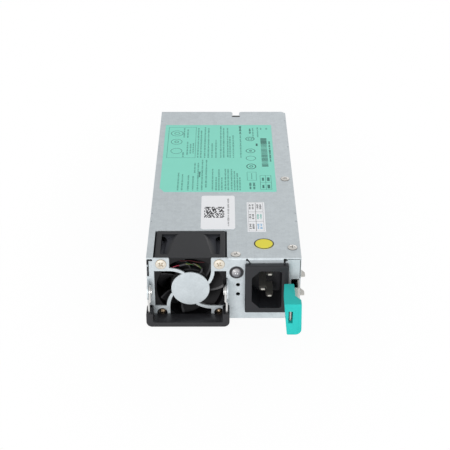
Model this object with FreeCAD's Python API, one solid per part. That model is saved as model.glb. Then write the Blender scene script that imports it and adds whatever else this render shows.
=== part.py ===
"""Hot swap server power supply: a sheet-metal case that slides into a server bay.

The frame has X to the right as seen from the front, Y from the front face to the rear and Z up.
Its origin is the centre of the case's underside. All sizes are in millimetres.
"""
import FreeCAD
import Part
import math
import os

V = FreeCAD.Vector
UP = V(0, 0, 1)
RIGHT = V(1, 0, 0)
BACK = V(0, 1, 0)
DOWN = V(0, 0, -1)
AHEAD = V(0, -1, 0)

# Case: a tray of bent steel with a cover that also forms the front face
CASE_WIDTH = 85.0
CASE_LENGTH = 190.0
CASE_HEIGHT = 40.0
SHEET = 0.8
BEND_RADIUS = 1.3
SLIT = 0.8
SLIT_LEAN = 0.7
THROUGH = 1.0
TOUCH = 0.01
ROUND_FIT = 0.05
ROUND_SHARE = 0.98
LID_CORNER = 2.4
LEFT_X = -CASE_WIDTH / 2
RIGHT_X = CASE_WIDTH / 2
FRONT_Y = -CASE_LENGTH / 2
REAR_Y = CASE_LENGTH / 2
FLOOR_Z = SHEET
ROOF_Z = CASE_HEIGHT - SHEET
MIDDLE_Z = CASE_HEIGHT / 2
INNER_LEFT = LEFT_X + SHEET
INNER_RIGHT = RIGHT_X - SHEET
BEHIND_FACE = FRONT_Y + SHEET

# Fan: a 40 mm frame, 28 mm deep, its top and bottom standing in cut-outs of the case
FAN_SIZE = 39.8
FAN_DEPTH = 28.0
FAN_SIDE = 4.1
FAN_CUT_GAP = 0.4
FAN_HOLE_PITCH = 32.0
FAN_HOLE_RADIUS = 2.15
FAN_WALL = 1.0
DUCT_FRONT_RADIUS = 23.3
DUCT_REAR_RADIUS = 20.9
FAN_FLANGE = 3.2
FAN_CORNER = 1.6
FAN_POST = 3.4
FAN_X = LEFT_X + FAN_SIDE + FAN_SIZE / 2
FAN_FRONT = BEHIND_FACE
FAN_REAR = FAN_FRONT + FAN_DEPTH
DUCT_RADIUS = FAN_SIZE / 2 - FAN_WALL
STRUT_WIDTH = 2.4
STRUT_DEPTH = 2.6
STRUT_COUNT = 4
STRUT_TURN = 45.0

# Fan motor and impeller
HUB_RADIUS = 11.2
HUB_WALL = 1.2
HUB_CAP = 1.5
HUB_START = 2.2
HUB_LENGTH = 20.0
HUB_EDGE = 0.7
BLADE_COUNT = 7
BLADE_START = -14.4
BLADE_THICK = 1.0
BLADE_EDGE = 0.4
BLADE_LENGTH = 17.0
BLADE_SETBACK = 1.0
BLADE_CAMBER = 2.6
BLADE_PANEL = 0.4
BLADE_SWELL = 0.85
BLADE_STAGGER = 44.0
TIP_GAP = 0.5
SHAFT_RADIUS = 1.0
SHAFT_RUNNING = 0.05
SHAFT_BOSS = 3.0
SLEEVE_WALL = 1.0
TOWER_WALL = 0.8
MAGNET_THICK = 1.3
STATOR_GAP = 0.4
STATOR_LENGTH = 8.0
STATOR_POLES = 4
POLE_WIDTH = 2.6
SHOE_OVERHANG = 1.3
SHOE_THICK = 1.0
COIL_THICK = 1.0
COIL_GAP = 0.2
HUB_FRONT = FAN_FRONT + HUB_START
MOTOR_BASE_FRONT = FAN_REAR - STRUT_DEPTH
SLEEVE_RADIUS = SHAFT_RADIUS + SHAFT_RUNNING + SLEEVE_WALL
TOWER_RADIUS = SLEEVE_RADIUS + TOWER_WALL
TIP_RADIUS = DUCT_RADIUS - TIP_GAP

# Finger guard of the front face
GUARD_PAD = 8.4
GUARD_DISC_RADIUS = 10.6
GUARD_SPOKE = 1.9
GUARD_PAD_CORNER = 0.6
GUARD_FOOT = 2.4
GUARD_TOP_DROP = 0.2
SPOKE_COUNT = 4
SPOKE_BOW = 0.7
SPOKE_TIP_SIDE = 0.3
SPOKE_TIP_RISE = 0.92

# Carrying handle: a plastic grip on two steel arms that swing in ears of the front face
EAR_INSET = 0.3
EAR_BESIDE_FAN = 1.0
EAR_RADIUS = 4.2
EAR_HALF_HEIGHT = 5.4
EAR_ROUND = 0.9
PIVOT_OUT = 4.0
PIVOT_RAISED = 1.0
PIVOT_RADIUS = 1.4
PIVOT_RUNNING = 0.06
PIVOT_HEAD = 2.4
PIVOT_HEAD_THICK = 0.5
ARM_WIDTH = 7.0
ARM_THICK = 1.0
ARM_GAP = 0.15
ARM_JOG = 0.7
ARM_JOG_DROP = 4.9
ARM_JOG_LENGTH = 0.9
ARM_BEND = 0.3
GRIP_OVERHANG = 0.8
GRIP_END = 3.9
GRIP_BAR = 3.0
GRIP_HEIGHT = 8.6
GRIP_DEPTH = 8.9
GRIP_STANDOFF = 0.4
GRIP_LIFT = 0.4
GRIP_CORNER = 3.2
GRIP_EDGE = 0.5
GRIP_RIM = 0.4
GRIP_INNER_CORNER = 1.0
SOCKET_FLOOR = 1.0
SOCKET_FIT = 0.05
EAR_LEFT = LEFT_X + EAR_INSET
EAR_RIGHT = FAN_X + FAN_SIZE / 2 + EAR_BESIDE_FAN
HANDLE_X = (EAR_LEFT + EAR_RIGHT) / 2
EAR_REACH = (EAR_RIGHT - EAR_LEFT) / 2
PIVOT_Y = FRONT_Y - PIVOT_OUT
PIVOT_Z = MIDDLE_Z + PIVOT_RAISED

# Mains inlet with its recess and three blades
INLET_FROM_RIGHT = 18.8
INLET_RAISED = 1.3
INLET_FLANGE_WIDTH = 24.0
INLET_FLANGE_HEIGHT = 30.6
INLET_FLANGE = 3.5
INLET_BODY_WIDTH = 20.4
INLET_BODY_HEIGHT = 27.8
INLET_BODY_DEPTH = 19.0
INLET_FIT = 0.1
INLET_CORNER = 0.8
INLET_RIM = 0.4
RECESS_WIDTH = 16.6
RECESS_HEIGHT = 24.2
RECESS_DEPTH = 18.0
RECESS_CHAMFER = 4.5
RECESS_CORNER = 1.8
RECESS_CUT_CORNER = 0.5
BLADE_WIDE = 4.0
BLADE_HIGH = 2.0
LINE_PITCH = 14.0
LINE_SHIFT = 1.8
EARTH_SHIFT = -2.1
LINE_TIP = 4.8
EARTH_TIP = 0.8
BLADE_NOSE = 0.5
TAIL_LENGTH = 5.0
TAIL_WIDE = 2.4
TAIL_THICK = 0.8
TAIL_STEP = 2.4
INLET_X = RIGHT_X - INLET_FROM_RIGHT
INLET_Z = MIDDLE_Z + INLET_RAISED
INLET_REAR = BEHIND_FACE + INLET_BODY_DEPTH

# Status lamp and the two small holes under it
LAMP_FROM_EAR = 4.6
LAMP_RAISED = 10.6
LAMP_RING = 4.0
LAMP_LENS = 2.65
LAMP_PROUD = 0.6
LAMP_DOME = 1.2
LAMP_BODY = 7.0
LAMP_COLLAR = 0.3
LAMP_COLLAR_THICK = 1.0
PEEP_RADIUS = 1.15
PEEP_SHIFT = 0.9
PEEP_RAISED = 2.5
PEEP_PITCH = 6.1
LAMP_X = EAR_RIGHT + LAMP_FROM_EAR
LAMP_Z = MIDDLE_Z + LAMP_RAISED
PEEP_X = LAMP_X + PEEP_SHIFT

# Release latch: a sprung steel strip with two teeth, and a plastic tab on its front end
LATCH_THICK = 0.8
LATCH_GAP = 0.15
LATCH_HEIGHT = 13.1
LATCH_LOWERED = 0.75
LATCH_ROOT = 62.0
LATCH_FOOT = 12.0
LATCH_FOOT_GAP = 0.3
LATCH_OUT = 8.0
LATCH_BEND = 1.1
LATCH_INNER_BEND = 0.3
LATCH_STEP = 5.6
TONGUE_REACH = 18.4
TONGUE_HEIGHT = 6.9
TONGUE_RAISED = 1.6
TOOTH_FRONT = 4.0
TOOTH_LENGTH = 7.6
TOOTH_PROUD = 2.7
TOOTH_FLAT = 3.4
TOOTH_ROUND = 2.4
TOOTH_CORNER = 0.4
TOOTH_SLOT_GAP = 0.4
LATCH_RIVET = 1.3
LATCH_RIVET_HEAD = 2.2
LATCH_RIVET_THICK = 0.5
LATCH_OPENING_WIDTH = 5.3
LATCH_OPENING_HEIGHT = 13.9
LATCH_OUTER = INNER_RIGHT - LATCH_GAP
LATCH_INNER = LATCH_OUTER - LATCH_THICK
LATCH_Z = MIDDLE_Z - LATCH_LOWERED
LATCH_ROOT_Y = FRONT_Y + LATCH_ROOT

# Latch tab
TAB_GAP = 0.8
TAB_NECK_WIDTH = 5.4
TAB_NECK_LENGTH = 11.4
TAB_FLARE = 4.6
TAB_LENGTH = 19.7
TAB_WIDE = 9.6
TAB_TOP_DROP = 0.5
TAB_HEIGHT = 19.6
TAB_TAPER = 1.7
TAB_CORNER = 3.4
TAB_EDGE = 0.8
TAB_WINDOW_WIDTH = 2.3
TAB_WINDOW_HEIGHT = 7.5
TAB_WINDOW_DEPTH = 5.0
TAB_FIT = 0.05

# Cover: screws, hooks, fan cut-out and the notch in its rear edge
SCREW_HEAD = 2.7
SCREW_HEAD_THICK = 0.9
SCREW_SHANK = 1.45
SCREW_LENGTH = 5.0
FAN_SCREW_HEAD = 3.0
FAN_SCREW_SMALL = 2.3
FAN_SCREW_SHANK = 1.9
FAN_SCREW_LENGTH = 5.0
PAD_HOLE = 2.9
LIP_WIDTH = 7.6
LIP_LENGTH = 12.0
COVER_SCREW_INSET = 4.4
COVER_SCREWS_Y = (10.7, 91.5)
DIVIDER_SCREW_INSET = 3.4
HOOK_FROM_FRONT = 44.6
HOOKS_FROM_REAR = (49.4, 19.4)
HOOK_LENGTH = 8.4
HOOK_DROP = 5.0
HOOK_GAP = 0.1
NICK_WIDTH = 1.0
NICK_DEPTH = 1.1
NICK_DROP = 2.0
NOTCH_X = 8.5
NOTCH_WIDTH = 4.6
NOTCH_DEPTH = 7.0
NOTCH_MOUTH = 1.3
NOTCH_CORNER = 0.6
PANEL_NOTCH_DROP = 2.7
CORNER_NOTCH_TOP = 1.6
CORNER_NOTCH_SIDE = 1.3
CORNER_NOTCH_DROP = 11.9
STRIP_GAP_DROP = 1.2
INLET_SLIT = 1.1
INLET_SLIT_TOP = 0.7
LEFT_SLIT_INSET = 0.3
RIGHT_SLIT_INSET = 2.9
WEDGE_WIDTH = 1.3
WEDGE_HEIGHT = 1.8
HOOK_PLACES = (HOOK_FROM_FRONT, CASE_LENGTH - HOOKS_FROM_REAR[0], CASE_LENGTH - HOOKS_FROM_REAR[1])

# Divider sheet between the fan and the inlet
DIVIDER_GAP = 0.4
DIVIDER_LIP = 8.4
DIVIDER_FOOT = 6.0
DIVIDER_X = FAN_X + FAN_SIZE / 2 + DIVIDER_GAP

# Rear panel with hexagon vents and the slot for the board's edge
VENT_RADIUS = 3.1
VENT_PITCH = 7.4
VENT_MARGIN = 4.4
REAR_FLANGE = 6.0
EDGE_SLOT_GAP = 1.2

# Main board on standoffs, with an insulating film under it
STANDOFF_HEIGHT = 3.0
STANDOFF_RADIUS = 2.8
BOARD_THICK = 1.6
BOARD_CORNER = 1.0
BOARD_SIDE_GAP = 1.5
BOARD_FRONT_GAP = 1.2
BOARD_BEHIND_FAN = 2.0
BOARD_REAR_GAP = 3.0
BOARD_SCREW_HEAD = 2.6
BOARD_SCREW_THICK = 1.4
BOARD_SCREW_SHANK = 1.4
BOARD_HOLE = 1.6
BOARD_HOLE_INSET = 4.5
EDGE_WIDTH = 56.0
EDGE_PROUD = 8.6
EDGE_CHAMFER = 1.2
CONTACT_THICK = 0.1
CONTACT_LENGTH = 6.5
CONTACT_WIDTH = 2.0
CONTACT_PITCH = 3.2
FILM_THICK = 0.3
FILM_MARGIN = 0.4
FILM_HOLE_GAP = 0.5
BOARD_LOW = FLOOR_Z + STANDOFF_HEIGHT
BOARD_TOP = BOARD_LOW + BOARD_THICK
BOARD_LEFT = INNER_LEFT + BOARD_SIDE_GAP
BOARD_RIGHT = INNER_RIGHT - BOARD_SIDE_GAP
BOARD_REAR = REAR_Y - BOARD_REAR_GAP
BOARD_FRONT = INLET_REAR + BOARD_FRONT_GAP
BOARD_STEP = FAN_REAR + BOARD_BEHIND_FAN
STEP_X = DIVIDER_X + SHEET + BOARD_SIDE_GAP


def block(x, y, z):
    """Box between the low and high values given for each axis."""
    return Part.makeBox(x[1] - x[0], y[1] - y[0], z[1] - z[0], V(x[0], y[0], z[0]))


def around(centre, width):
    """Low and high value of a width about a centre."""
    return (centre - width / 2, centre + width / 2)


def rod(radius, start, direction, length):
    """Round bar from a start point along a direction."""
    return Part.makeCylinder(radius, length, start, direction)


def tube(outer, inner, start, direction, length):
    """Round bar with a bore through it."""
    return rod(outer, start, direction, length).cut(rod(inner, start, direction, length))


def fused(shapes):
    """One solid from touching or crossing shapes."""
    return shapes[0].multiFuse(shapes[1:]).removeSplitter()


def rounded_face(corners, place):
    """Face of a polygon with corners (a, b, radius), set in space by place(a, b)."""
    joins = []
    for index, (a, b, radius) in enumerate(corners):
        here = V(a, b, 0)
        after_a, after_b, _ = corners[(index + 1) % len(corners)]
        before = V(corners[index - 1][0], corners[index - 1][1], 0) - here
        after = V(after_a, after_b, 0) - here
        before.normalize()
        after.normalize()
        half = before.getAngle(after) / 2
        reach = radius / math.tan(half)
        middle = before + after
        if middle.Length > 0:
            middle.normalize()
        crown = here + middle * (radius / math.sin(half) - radius)
        joins.append((here + before * reach, crown, here + after * reach, radius))
    edges = []
    for index, (start, crown, end, radius) in enumerate(joins):
        last = joins[index - 1][2]
        edges.append(Part.makeLine(place(last.x, last.y), place(start.x, start.y)))
        if radius > 0:
            arc = Part.Arc(place(start.x, start.y), place(crown.x, crown.y), place(end.x, end.y))
            edges.append(arc.toShape())
    return Part.Face(Part.Wire(edges))


def front_plate(corners, y, depth):
    """Plate with an outline in X and Z, from y towards the rear."""
    return rounded_face(corners, lambda x, z: V(x, y, z)).extrude(V(0, depth, 0))


def floor_plate(corners, z, height):
    """Plate with an outline in X and Y, from z upwards."""
    return rounded_face(corners, lambda x, y: V(x, y, z)).extrude(V(0, 0, height))


def side_plate(corners, x, width):
    """Plate with an outline in Y and Z, from x to the right."""
    return rounded_face(corners, lambda y, z: V(x, y, z)).extrude(V(width, 0, 0))


def rectangle(a, b, radius):
    """Corners of a rounded rectangle between the low and high values a and b."""
    return [(a[0], b[0], radius), (a[1], b[0], radius), (a[1], b[1], radius), (a[0], b[1], radius)]


def turned_about_fan(shape, angle):
    """Copy of a shape turned about the fan's axis."""
    copy = shape.copy()
    copy.rotate(V(FAN_X, FRONT_Y, MIDDLE_Z), AHEAD, angle)
    return copy


def fan_rod(radius, y, length):
    """Round bar on the fan's axis."""
    return rod(radius, V(FAN_X, y, MIDDLE_Z), BACK, length)


def fan_hole_places():
    """Centres (x, z) of the fan's four mounting holes: lower pair, then upper pair."""
    half = FAN_HOLE_PITCH / 2
    return [(FAN_X + side * half, MIDDLE_Z + level * half) for level in (-1, 1) for side in (-1, 1)]


def screw(head, head_thick, shank, length, seat, direction):
    """Screw whose flat head rests at seat and whose shank runs along direction."""
    top = seat - direction * head_thick
    return fused([rod(head, top, direction, head_thick), rod(shank, seat, direction, length)])


def guard_spoke():
    """Upper left spoke of the guard: a curved band from its pad to the disc."""
    inner = FAN_SIZE / 2 - GUARD_PAD
    half = GUARD_SPOKE / 2
    root = (-inner - half, inner + half)
    way = (-inner * SPOKE_BOW, inner + half / 2)
    tip = (-GUARD_DISC_RADIUS * SPOKE_TIP_SIDE, GUARD_DISC_RADIUS * SPOKE_TIP_RISE)

    def at(point, rise):
        return V(FAN_X + point[0], FRONT_Y, MIDDLE_Z + point[1] + rise)

    upper = Part.Arc(at(root, half), at(way, half), at(tip, half)).toShape()
    lower = Part.Arc(at(tip, -half), at(way, -half), at(root, -half)).toShape()
    ends = [Part.makeLine(at(tip, half), at(tip, -half)), Part.makeLine(at(root, -half), at(root, half))]
    return Part.Face(Part.Wire([upper, ends[0], lower, ends[1]])).extrude(V(0, SHEET, 0))


def guard():
    """Finger guard: disc, four spokes and four corner pads around the fan's axis."""
    pieces = [fan_rod(GUARD_DISC_RADIUS, FRONT_Y, SHEET)]
    spoke = guard_spoke()
    outer = FAN_SIZE / 2 + EAR_BESIDE_FAN
    inner = FAN_SIZE / 2 - GUARD_PAD
    for index in range(SPOKE_COUNT):
        pieces.append(turned_about_fan(spoke, 360 * index / SPOKE_COUNT))
    for side in (-1, 1):
        for level in (-1, 1):
            across = sorted((FAN_X + side * inner, FAN_X + side * outer))
            edge = CASE_HEIGHT - GUARD_TOP_DROP if level > 0 else 0.0
            high = sorted((MIDDLE_Z + level * inner, edge))
            pieces.append(front_plate(rectangle(across, high, GUARD_PAD_CORNER), FRONT_Y, SHEET))
    return pieces


def ear(outer_x, inward):
    """Ear of the front face that carries one handle arm; inward is the sign towards the handle."""
    low_x = min(outer_x, outer_x + inward * SHEET)
    foot = BEHIND_FACE - SHEET / 2
    outline = [(foot, PIVOT_Z - EAR_HALF_HEIGHT, 0),
               (PIVOT_Y - EAR_RADIUS, PIVOT_Z - EAR_RADIUS, EAR_RADIUS * EAR_ROUND),
               (PIVOT_Y - EAR_RADIUS, PIVOT_Z + EAR_RADIUS, EAR_RADIUS * EAR_ROUND),
               (foot, PIVOT_Z + EAR_HALF_HEIGHT, 0)]
    plate = side_plate(outline, low_x, SHEET)
    hole = rod(PIVOT_RADIUS, V(low_x - THROUGH, PIVOT_Y, PIVOT_Z), RIGHT, SHEET + 2 * THROUGH)
    return plate.cut(hole)


def face_openings():
    """Everything cut through the front face and the bend above it."""
    through = (FRONT_Y - THROUGH, BEHIND_FACE + THROUGH)
    fan_left = FAN_X - FAN_SIZE / 2
    fan_right = FAN_X + FAN_SIZE / 2
    top = CASE_HEIGHT + THROUGH
    cuts = [block((fan_left, fan_right), through, (GUARD_FOOT, top))]
    cuts.append(block((fan_right - SHEET, EAR_RIGHT), through,
                      around(PIVOT_Z, 2 * EAR_HALF_HEIGHT + 2 * SLIT)))
    inlet = rectangle(around(INLET_X, INLET_BODY_WIDTH + 2 * INLET_FIT),
                      around(INLET_Z, INLET_BODY_HEIGHT + 2 * INLET_FIT), INLET_CORNER + INLET_FIT)
    cuts.append(front_plate(inlet, FRONT_Y - THROUGH, SHEET + 2 * THROUGH))
    opening_left = RIGHT_X - LATCH_OPENING_WIDTH
    cuts.append(block((opening_left, RIGHT_X + THROUGH), through, around(LATCH_Z, LATCH_OPENING_HEIGHT)))
    cuts.append(block((LEFT_X - THROUGH, fan_left), through, (CASE_HEIGHT - CORNER_NOTCH_TOP, ROOF_Z)))
    cuts.append(block((LEFT_X - THROUGH, LEFT_X + CORNER_NOTCH_SIDE), through,
                      (CASE_HEIGHT - CORNER_NOTCH_DROP, ROOF_Z)))
    flange_right = INLET_X + INLET_FLANGE_WIDTH / 2
    cuts.append(block((flange_right - SLIT, RIGHT_X + THROUGH), through,
                      (CASE_HEIGHT - STRIP_GAP_DROP, ROOF_Z)))
    cuts.append(rod(LAMP_RING, V(LAMP_X, FRONT_Y - THROUGH, LAMP_Z), BACK, SHEET + 2 * THROUGH))
    for step in (0, 1):
        centre = V(PEEP_X, FRONT_Y - THROUGH, MIDDLE_Z + PEEP_RAISED - step * PEEP_PITCH)
        cuts.append(rod(PEEP_RADIUS, centre, BACK, SHEET + 2 * THROUGH))
    return cuts + relief_slits()


def relief_slits():
    """Slits beside the bends: one by the guard's pad and two above the inlet, one with a wedge."""
    fan_right = FAN_X + FAN_SIZE / 2
    ahead = FRONT_Y - THROUGH
    behind = BEHIND_FACE + SLIT
    low = INLET_Z + INLET_FLANGE_HEIGHT / 2
    slits = [block((fan_right - SLIT / 2, fan_right + SLIT), (ahead, behind), (low, CASE_HEIGHT + THROUGH))]
    top = CASE_HEIGHT - INLET_SLIT_TOP
    lean = (top - low) * SLIT_LEAN
    head = INLET_X - INLET_FLANGE_WIDTH / 2 + LEFT_SLIT_INSET
    slanted = [(head + lean, low), (head + lean + INLET_SLIT, low), (head + INLET_SLIT, top), (head, top)]
    foot = INLET_X + INLET_FLANGE_WIDTH / 2 - RIGHT_SLIT_INSET
    side = foot + INLET_SLIT
    wedged = [(foot, low), (side, low), (side, top - WEDGE_HEIGHT),
              (side + WEDGE_WIDTH, top - WEDGE_HEIGHT / 3), (side, top), (foot, top)]
    for outline in (slanted, wedged):
        slits.append(front_plate([(x, z, 0) for x, z in outline], ahead, behind - ahead))
    return slits


def cover_screw_places():
    """Points on the cover's top where its three screws rest."""
    side = RIGHT_X - COVER_SCREW_INSET
    places = [V(side, FRONT_Y + along, CASE_HEIGHT) for along in COVER_SCREWS_Y]
    places.append(V(DIVIDER_X + DIVIDER_LIP / 2 + SHEET, BEHIND_FACE + DIVIDER_SCREW_INSET, CASE_HEIGHT))
    return places


def rear_notch():
    """Notch in the cover's rear edge, with slanted sides at its mouth."""
    left, right = around(NOTCH_X, NOTCH_WIDTH)
    beyond = REAR_Y + THROUGH
    mouth = NOTCH_MOUTH + THROUGH
    bottom = REAR_Y - NOTCH_DEPTH
    corners = [(left, bottom, NOTCH_CORNER), (right, bottom, NOTCH_CORNER),
               (right, REAR_Y - NOTCH_MOUTH, 0), (right + mouth, beyond, 0),
               (left - mouth, beyond, 0), (left, REAR_Y - NOTCH_MOUTH, 0)]
    return floor_plate(corners, ROOF_Z - THROUGH, SHEET + 2 * THROUGH)


def rear_corner():
    """Corner cut off at the cover's right rear end."""
    end = REAR_Y + THROUGH
    side = RIGHT_X + THROUGH
    reach = LID_CORNER + 2 * THROUGH
    corners = [(side, end, 0), (side - reach, end, 0), (side, end - reach, 0)]
    return floor_plate(corners, ROOF_Z - THROUGH, SHEET + 2 * THROUGH)


def cover_hooks():
    """Tongues bent down from the cover's long edges, inside the tray's walls."""
    hooks = []
    for along in HOOK_PLACES:
        for outer in (INNER_LEFT + HOOK_GAP, INNER_RIGHT - HOOK_GAP - SHEET):
            hooks.append(block((outer, outer + SHEET), around(FRONT_Y + along, HOOK_LENGTH),
                               (ROOF_Z - HOOK_DROP, ROOF_Z + SHEET / 2)))
    return hooks


def edge_nicks(low):
    """Nicks in the long top edges, at both ends of the front hooks and at one end of the others."""
    reach = (HOOK_LENGTH + NICK_WIDTH) / 2
    front, middle, rear = HOOK_PLACES
    nicks = []
    for along in (front - reach, front + reach, middle - reach, rear + reach):
        for side in (-1, 1):
            across = sorted((side * (RIGHT_X - NICK_DEPTH), side * (RIGHT_X + THROUGH)))
            nicks.append(block(across, around(FRONT_Y + along, NICK_WIDTH), (low, CASE_HEIGHT + THROUGH)))
    return nicks


def top_cover():
    """Cover, front face, finger guard and ears, bent from one sheet."""
    shell = block((LEFT_X, RIGHT_X), (FRONT_Y, REAR_Y), (0, CASE_HEIGHT))
    upper_front = V(0, FRONT_Y, CASE_HEIGHT)
    bend = [edge for edge in shell.Edges if (edge.CenterOfMass - upper_front).Length < SHEET]
    shell = shell.makeFillet(BEND_RADIUS, bend)
    hollow = block((LEFT_X - THROUGH, RIGHT_X + THROUGH), (BEHIND_FACE, REAR_Y + THROUGH),
                   (-THROUGH, ROOF_Z))
    shell = shell.cut(hollow)
    gap = FAN_CUT_GAP
    fan_cut = block(around(FAN_X, FAN_SIZE + 2 * gap), (FRONT_Y - THROUGH, FAN_REAR + gap),
                    (ROOF_Z - THROUGH, CASE_HEIGHT + THROUGH))
    cuts = [fan_cut, rear_notch(), rear_corner()] + edge_nicks(ROOF_Z - THROUGH)
    shell = shell.cut(face_openings() + cuts)
    ears = [ear(EAR_LEFT, 1), ear(EAR_RIGHT, -1)]
    shell = fused([shell] + guard() + ears + cover_hooks())
    holes = []
    for index, (x, z) in enumerate(fan_hole_places()):
        radius = PAD_HOLE if index < 2 else FAN_SCREW_SHANK
        holes.append(rod(radius, V(x, FRONT_Y - THROUGH, z), BACK, SHEET + 2 * THROUGH))
    for place in cover_screw_places():
        holes.append(rod(SCREW_SHANK, place + UP * THROUGH, DOWN, SHEET + 2 * THROUGH))
    return shell.cut(holes)


def tooth_slots():
    """Slots of the right wall through which the latch's teeth stand out."""
    slots = []
    for edge_z in (LATCH_Z + LATCH_HEIGHT / 2 - LATCH_THICK, LATCH_Z - LATCH_HEIGHT / 2):
        slots.append(block((INNER_RIGHT - THROUGH, RIGHT_X + THROUGH),
                           (FRONT_Y + TOOTH_FRONT - TOOTH_SLOT_GAP,
                            FRONT_Y + TOOTH_FRONT + TOOTH_LENGTH + TOOTH_SLOT_GAP),
                           (edge_z - TOOTH_SLOT_GAP, edge_z + LATCH_THICK + TOOTH_SLOT_GAP)))
    return slots


def latch_rivet_places():
    """Heights and depth of the two rivets in the latch's foot."""
    along = LATCH_ROOT_Y + LATCH_FOOT_GAP + LATCH_FOOT / 2
    return [(along, LATCH_Z - LATCH_HEIGHT / 4), (along, LATCH_Z + LATCH_HEIGHT / 4)]


def chassis_tray():
    """Tray: floor, two side walls and the lips under the cover's screws."""
    outer = block((LEFT_X, RIGHT_X), (BEHIND_FACE, REAR_Y), (0, ROOF_Z))
    lengthwise = [edge for edge in outer.Edges
                  if edge.Length > CASE_LENGTH / 2 and edge.CenterOfMass.z < SHEET]
    outer = outer.makeFillet(BEND_RADIUS, lengthwise)
    hollow = block((INNER_LEFT, INNER_RIGHT), (FRONT_Y - THROUGH, REAR_Y + THROUGH),
                   (FLOOR_Z, CASE_HEIGHT + THROUGH))
    tray = outer.cut(hollow)
    gap = FAN_CUT_GAP
    fan_cut = block(around(FAN_X, FAN_SIZE + 2 * gap), (FRONT_Y - THROUGH, FAN_REAR + gap),
                    (-THROUGH, FLOOR_Z + THROUGH))
    cuts = [fan_cut] + tooth_slots() + edge_nicks(ROOF_Z - NICK_DROP)
    for along, height in latch_rivet_places():
        cuts.append(rod(LATCH_RIVET, V(INNER_RIGHT - THROUGH, along, height), RIGHT, SHEET + 2 * THROUGH))
    tray = tray.cut(cuts)
    lips = []
    for along in COVER_SCREWS_Y:
        lips.append(block((INNER_RIGHT - LIP_WIDTH, INNER_RIGHT + SHEET / 2),
                          around(FRONT_Y + along, LIP_LENGTH), (ROOF_Z - SHEET, ROOF_Z)))
    tray = fused([tray] + lips)
    bores = [rod(SCREW_SHANK, place, DOWN, SHEET + SHEET + THROUGH) for place in cover_screw_places()[:2]]
    return tray.cut(bores)


def fan_divider():
    """Bent sheet beside the fan, from the floor to a lip under the cover."""
    back = FAN_REAR
    wall = block((DIVIDER_X, DIVIDER_X + SHEET), (BEHIND_FACE, back), (FLOOR_Z, ROOF_Z))
    lip = block((DIVIDER_X, DIVIDER_X + SHEET + DIVIDER_LIP),
                (BEHIND_FACE, BEHIND_FACE + 2 * DIVIDER_SCREW_INSET), (ROOF_Z - SHEET, ROOF_Z))
    foot = block((DIVIDER_X, DIVIDER_X + SHEET + DIVIDER_FOOT), (BEHIND_FACE, INLET_REAR),
                 (FLOOR_Z, FLOOR_Z + SHEET))
    sheet = fused([wall, lip, foot])
    return sheet.cut(rod(SCREW_SHANK, cover_screw_places()[2], DOWN, 2 * SHEET + THROUGH))


def hexagon(a, b, radius):
    """Six sharp corners about a centre, at one distance from it."""
    turns = [math.radians(60 * k) for k in range(6)]
    return [(a + radius * math.cos(turn), b + radius * math.sin(turn), 0) for turn in turns]


def rear_panel():
    """Rear wall with flanges at its foot and sides, a field of hexagon vents and the board's slot."""
    face_y = REAR_Y - SHEET
    plate = block((INNER_LEFT, INNER_RIGHT), (face_y, REAR_Y), (FLOOR_Z, ROOF_Z))
    inner = REAR_Y - REAR_FLANGE
    rise = (BOARD_TOP + SHEET, ROOF_Z - HOOK_DROP)
    left = block((INNER_LEFT, INNER_LEFT + SHEET), (inner, REAR_Y), rise)
    right = block((INNER_RIGHT - SHEET, INNER_RIGHT), (inner, REAR_Y), rise)
    panel = fused([plate, left, right])
    slot = block(around(0, EDGE_WIDTH + 2 * EDGE_SLOT_GAP), (face_y - THROUGH, REAR_Y + THROUGH),
                 (BOARD_LOW - EDGE_SLOT_GAP, BOARD_TOP + EDGE_SLOT_GAP))
    low = BOARD_TOP + EDGE_SLOT_GAP + VENT_MARGIN
    rise = VENT_PITCH * math.sin(math.radians(60))
    rows = int((ROOF_Z - VENT_MARGIN - low) / rise) + 1
    columns = int((CASE_WIDTH / 2 - 2 * VENT_MARGIN) / VENT_PITCH)
    notch = block(around(NOTCH_X, NOTCH_WIDTH), (face_y - THROUGH, REAR_Y + THROUGH),
                  (CASE_HEIGHT - PANEL_NOTCH_DROP, CASE_HEIGHT))
    vents = []
    for row in range(rows):
        shift = VENT_PITCH / 2 if row % 2 else 0.0
        for column in range(-columns, columns + 1 - row % 2):
            outline = hexagon(column * VENT_PITCH + shift, low + row * rise, VENT_RADIUS)
            vents.append(front_plate(outline, face_y - THROUGH, SHEET + 2 * THROUGH))
    return panel.cut(vents + [slot, notch])


def fan_frame():
    """Fan housing: a duct that narrows to the rear, two square flanges, posts and the motor base."""
    half = FAN_SIZE / 2
    square = rectangle(around(FAN_X, FAN_SIZE), around(MIDDLE_Z, FAN_SIZE), FAN_CORNER)
    centre = V(FAN_X, FAN_FRONT, MIDDLE_Z)
    cone = Part.makeCone(DUCT_FRONT_RADIUS, DUCT_REAR_RADIUS, FAN_DEPTH, centre, BACK)
    room = block(around(FAN_X, FAN_SIZE), (FAN_FRONT, FAN_REAR), around(MIDDLE_Z, FAN_SIZE))
    pieces = [cone.common(room),
              front_plate(square, FAN_FRONT, FAN_FLANGE),
              front_plate(square, FAN_REAR - FAN_FLANGE, FAN_FLANGE)]
    for side in (-1, 1):
        for level in (-1, 1):
            across = sorted((FAN_X + side * half, FAN_X + side * (half - FAN_POST)))
            high = sorted((MIDDLE_Z + level * half, MIDDLE_Z + level * (half - FAN_POST)))
            post = block(across, (FAN_FRONT, FAN_REAR), high)
            pieces.append(post.common(front_plate(square, FAN_FRONT, FAN_DEPTH)))
    frame = fused(pieces).cut(fan_rod(DUCT_RADIUS, FAN_FRONT - THROUGH, FAN_DEPTH + 2 * THROUGH))
    for x, z in fan_hole_places():
        frame = frame.cut(rod(FAN_HOLE_RADIUS, V(x, FAN_FRONT - THROUGH, z), BACK, FAN_DEPTH + 2 * THROUGH))
    return fused([frame] + motor_base())


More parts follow.
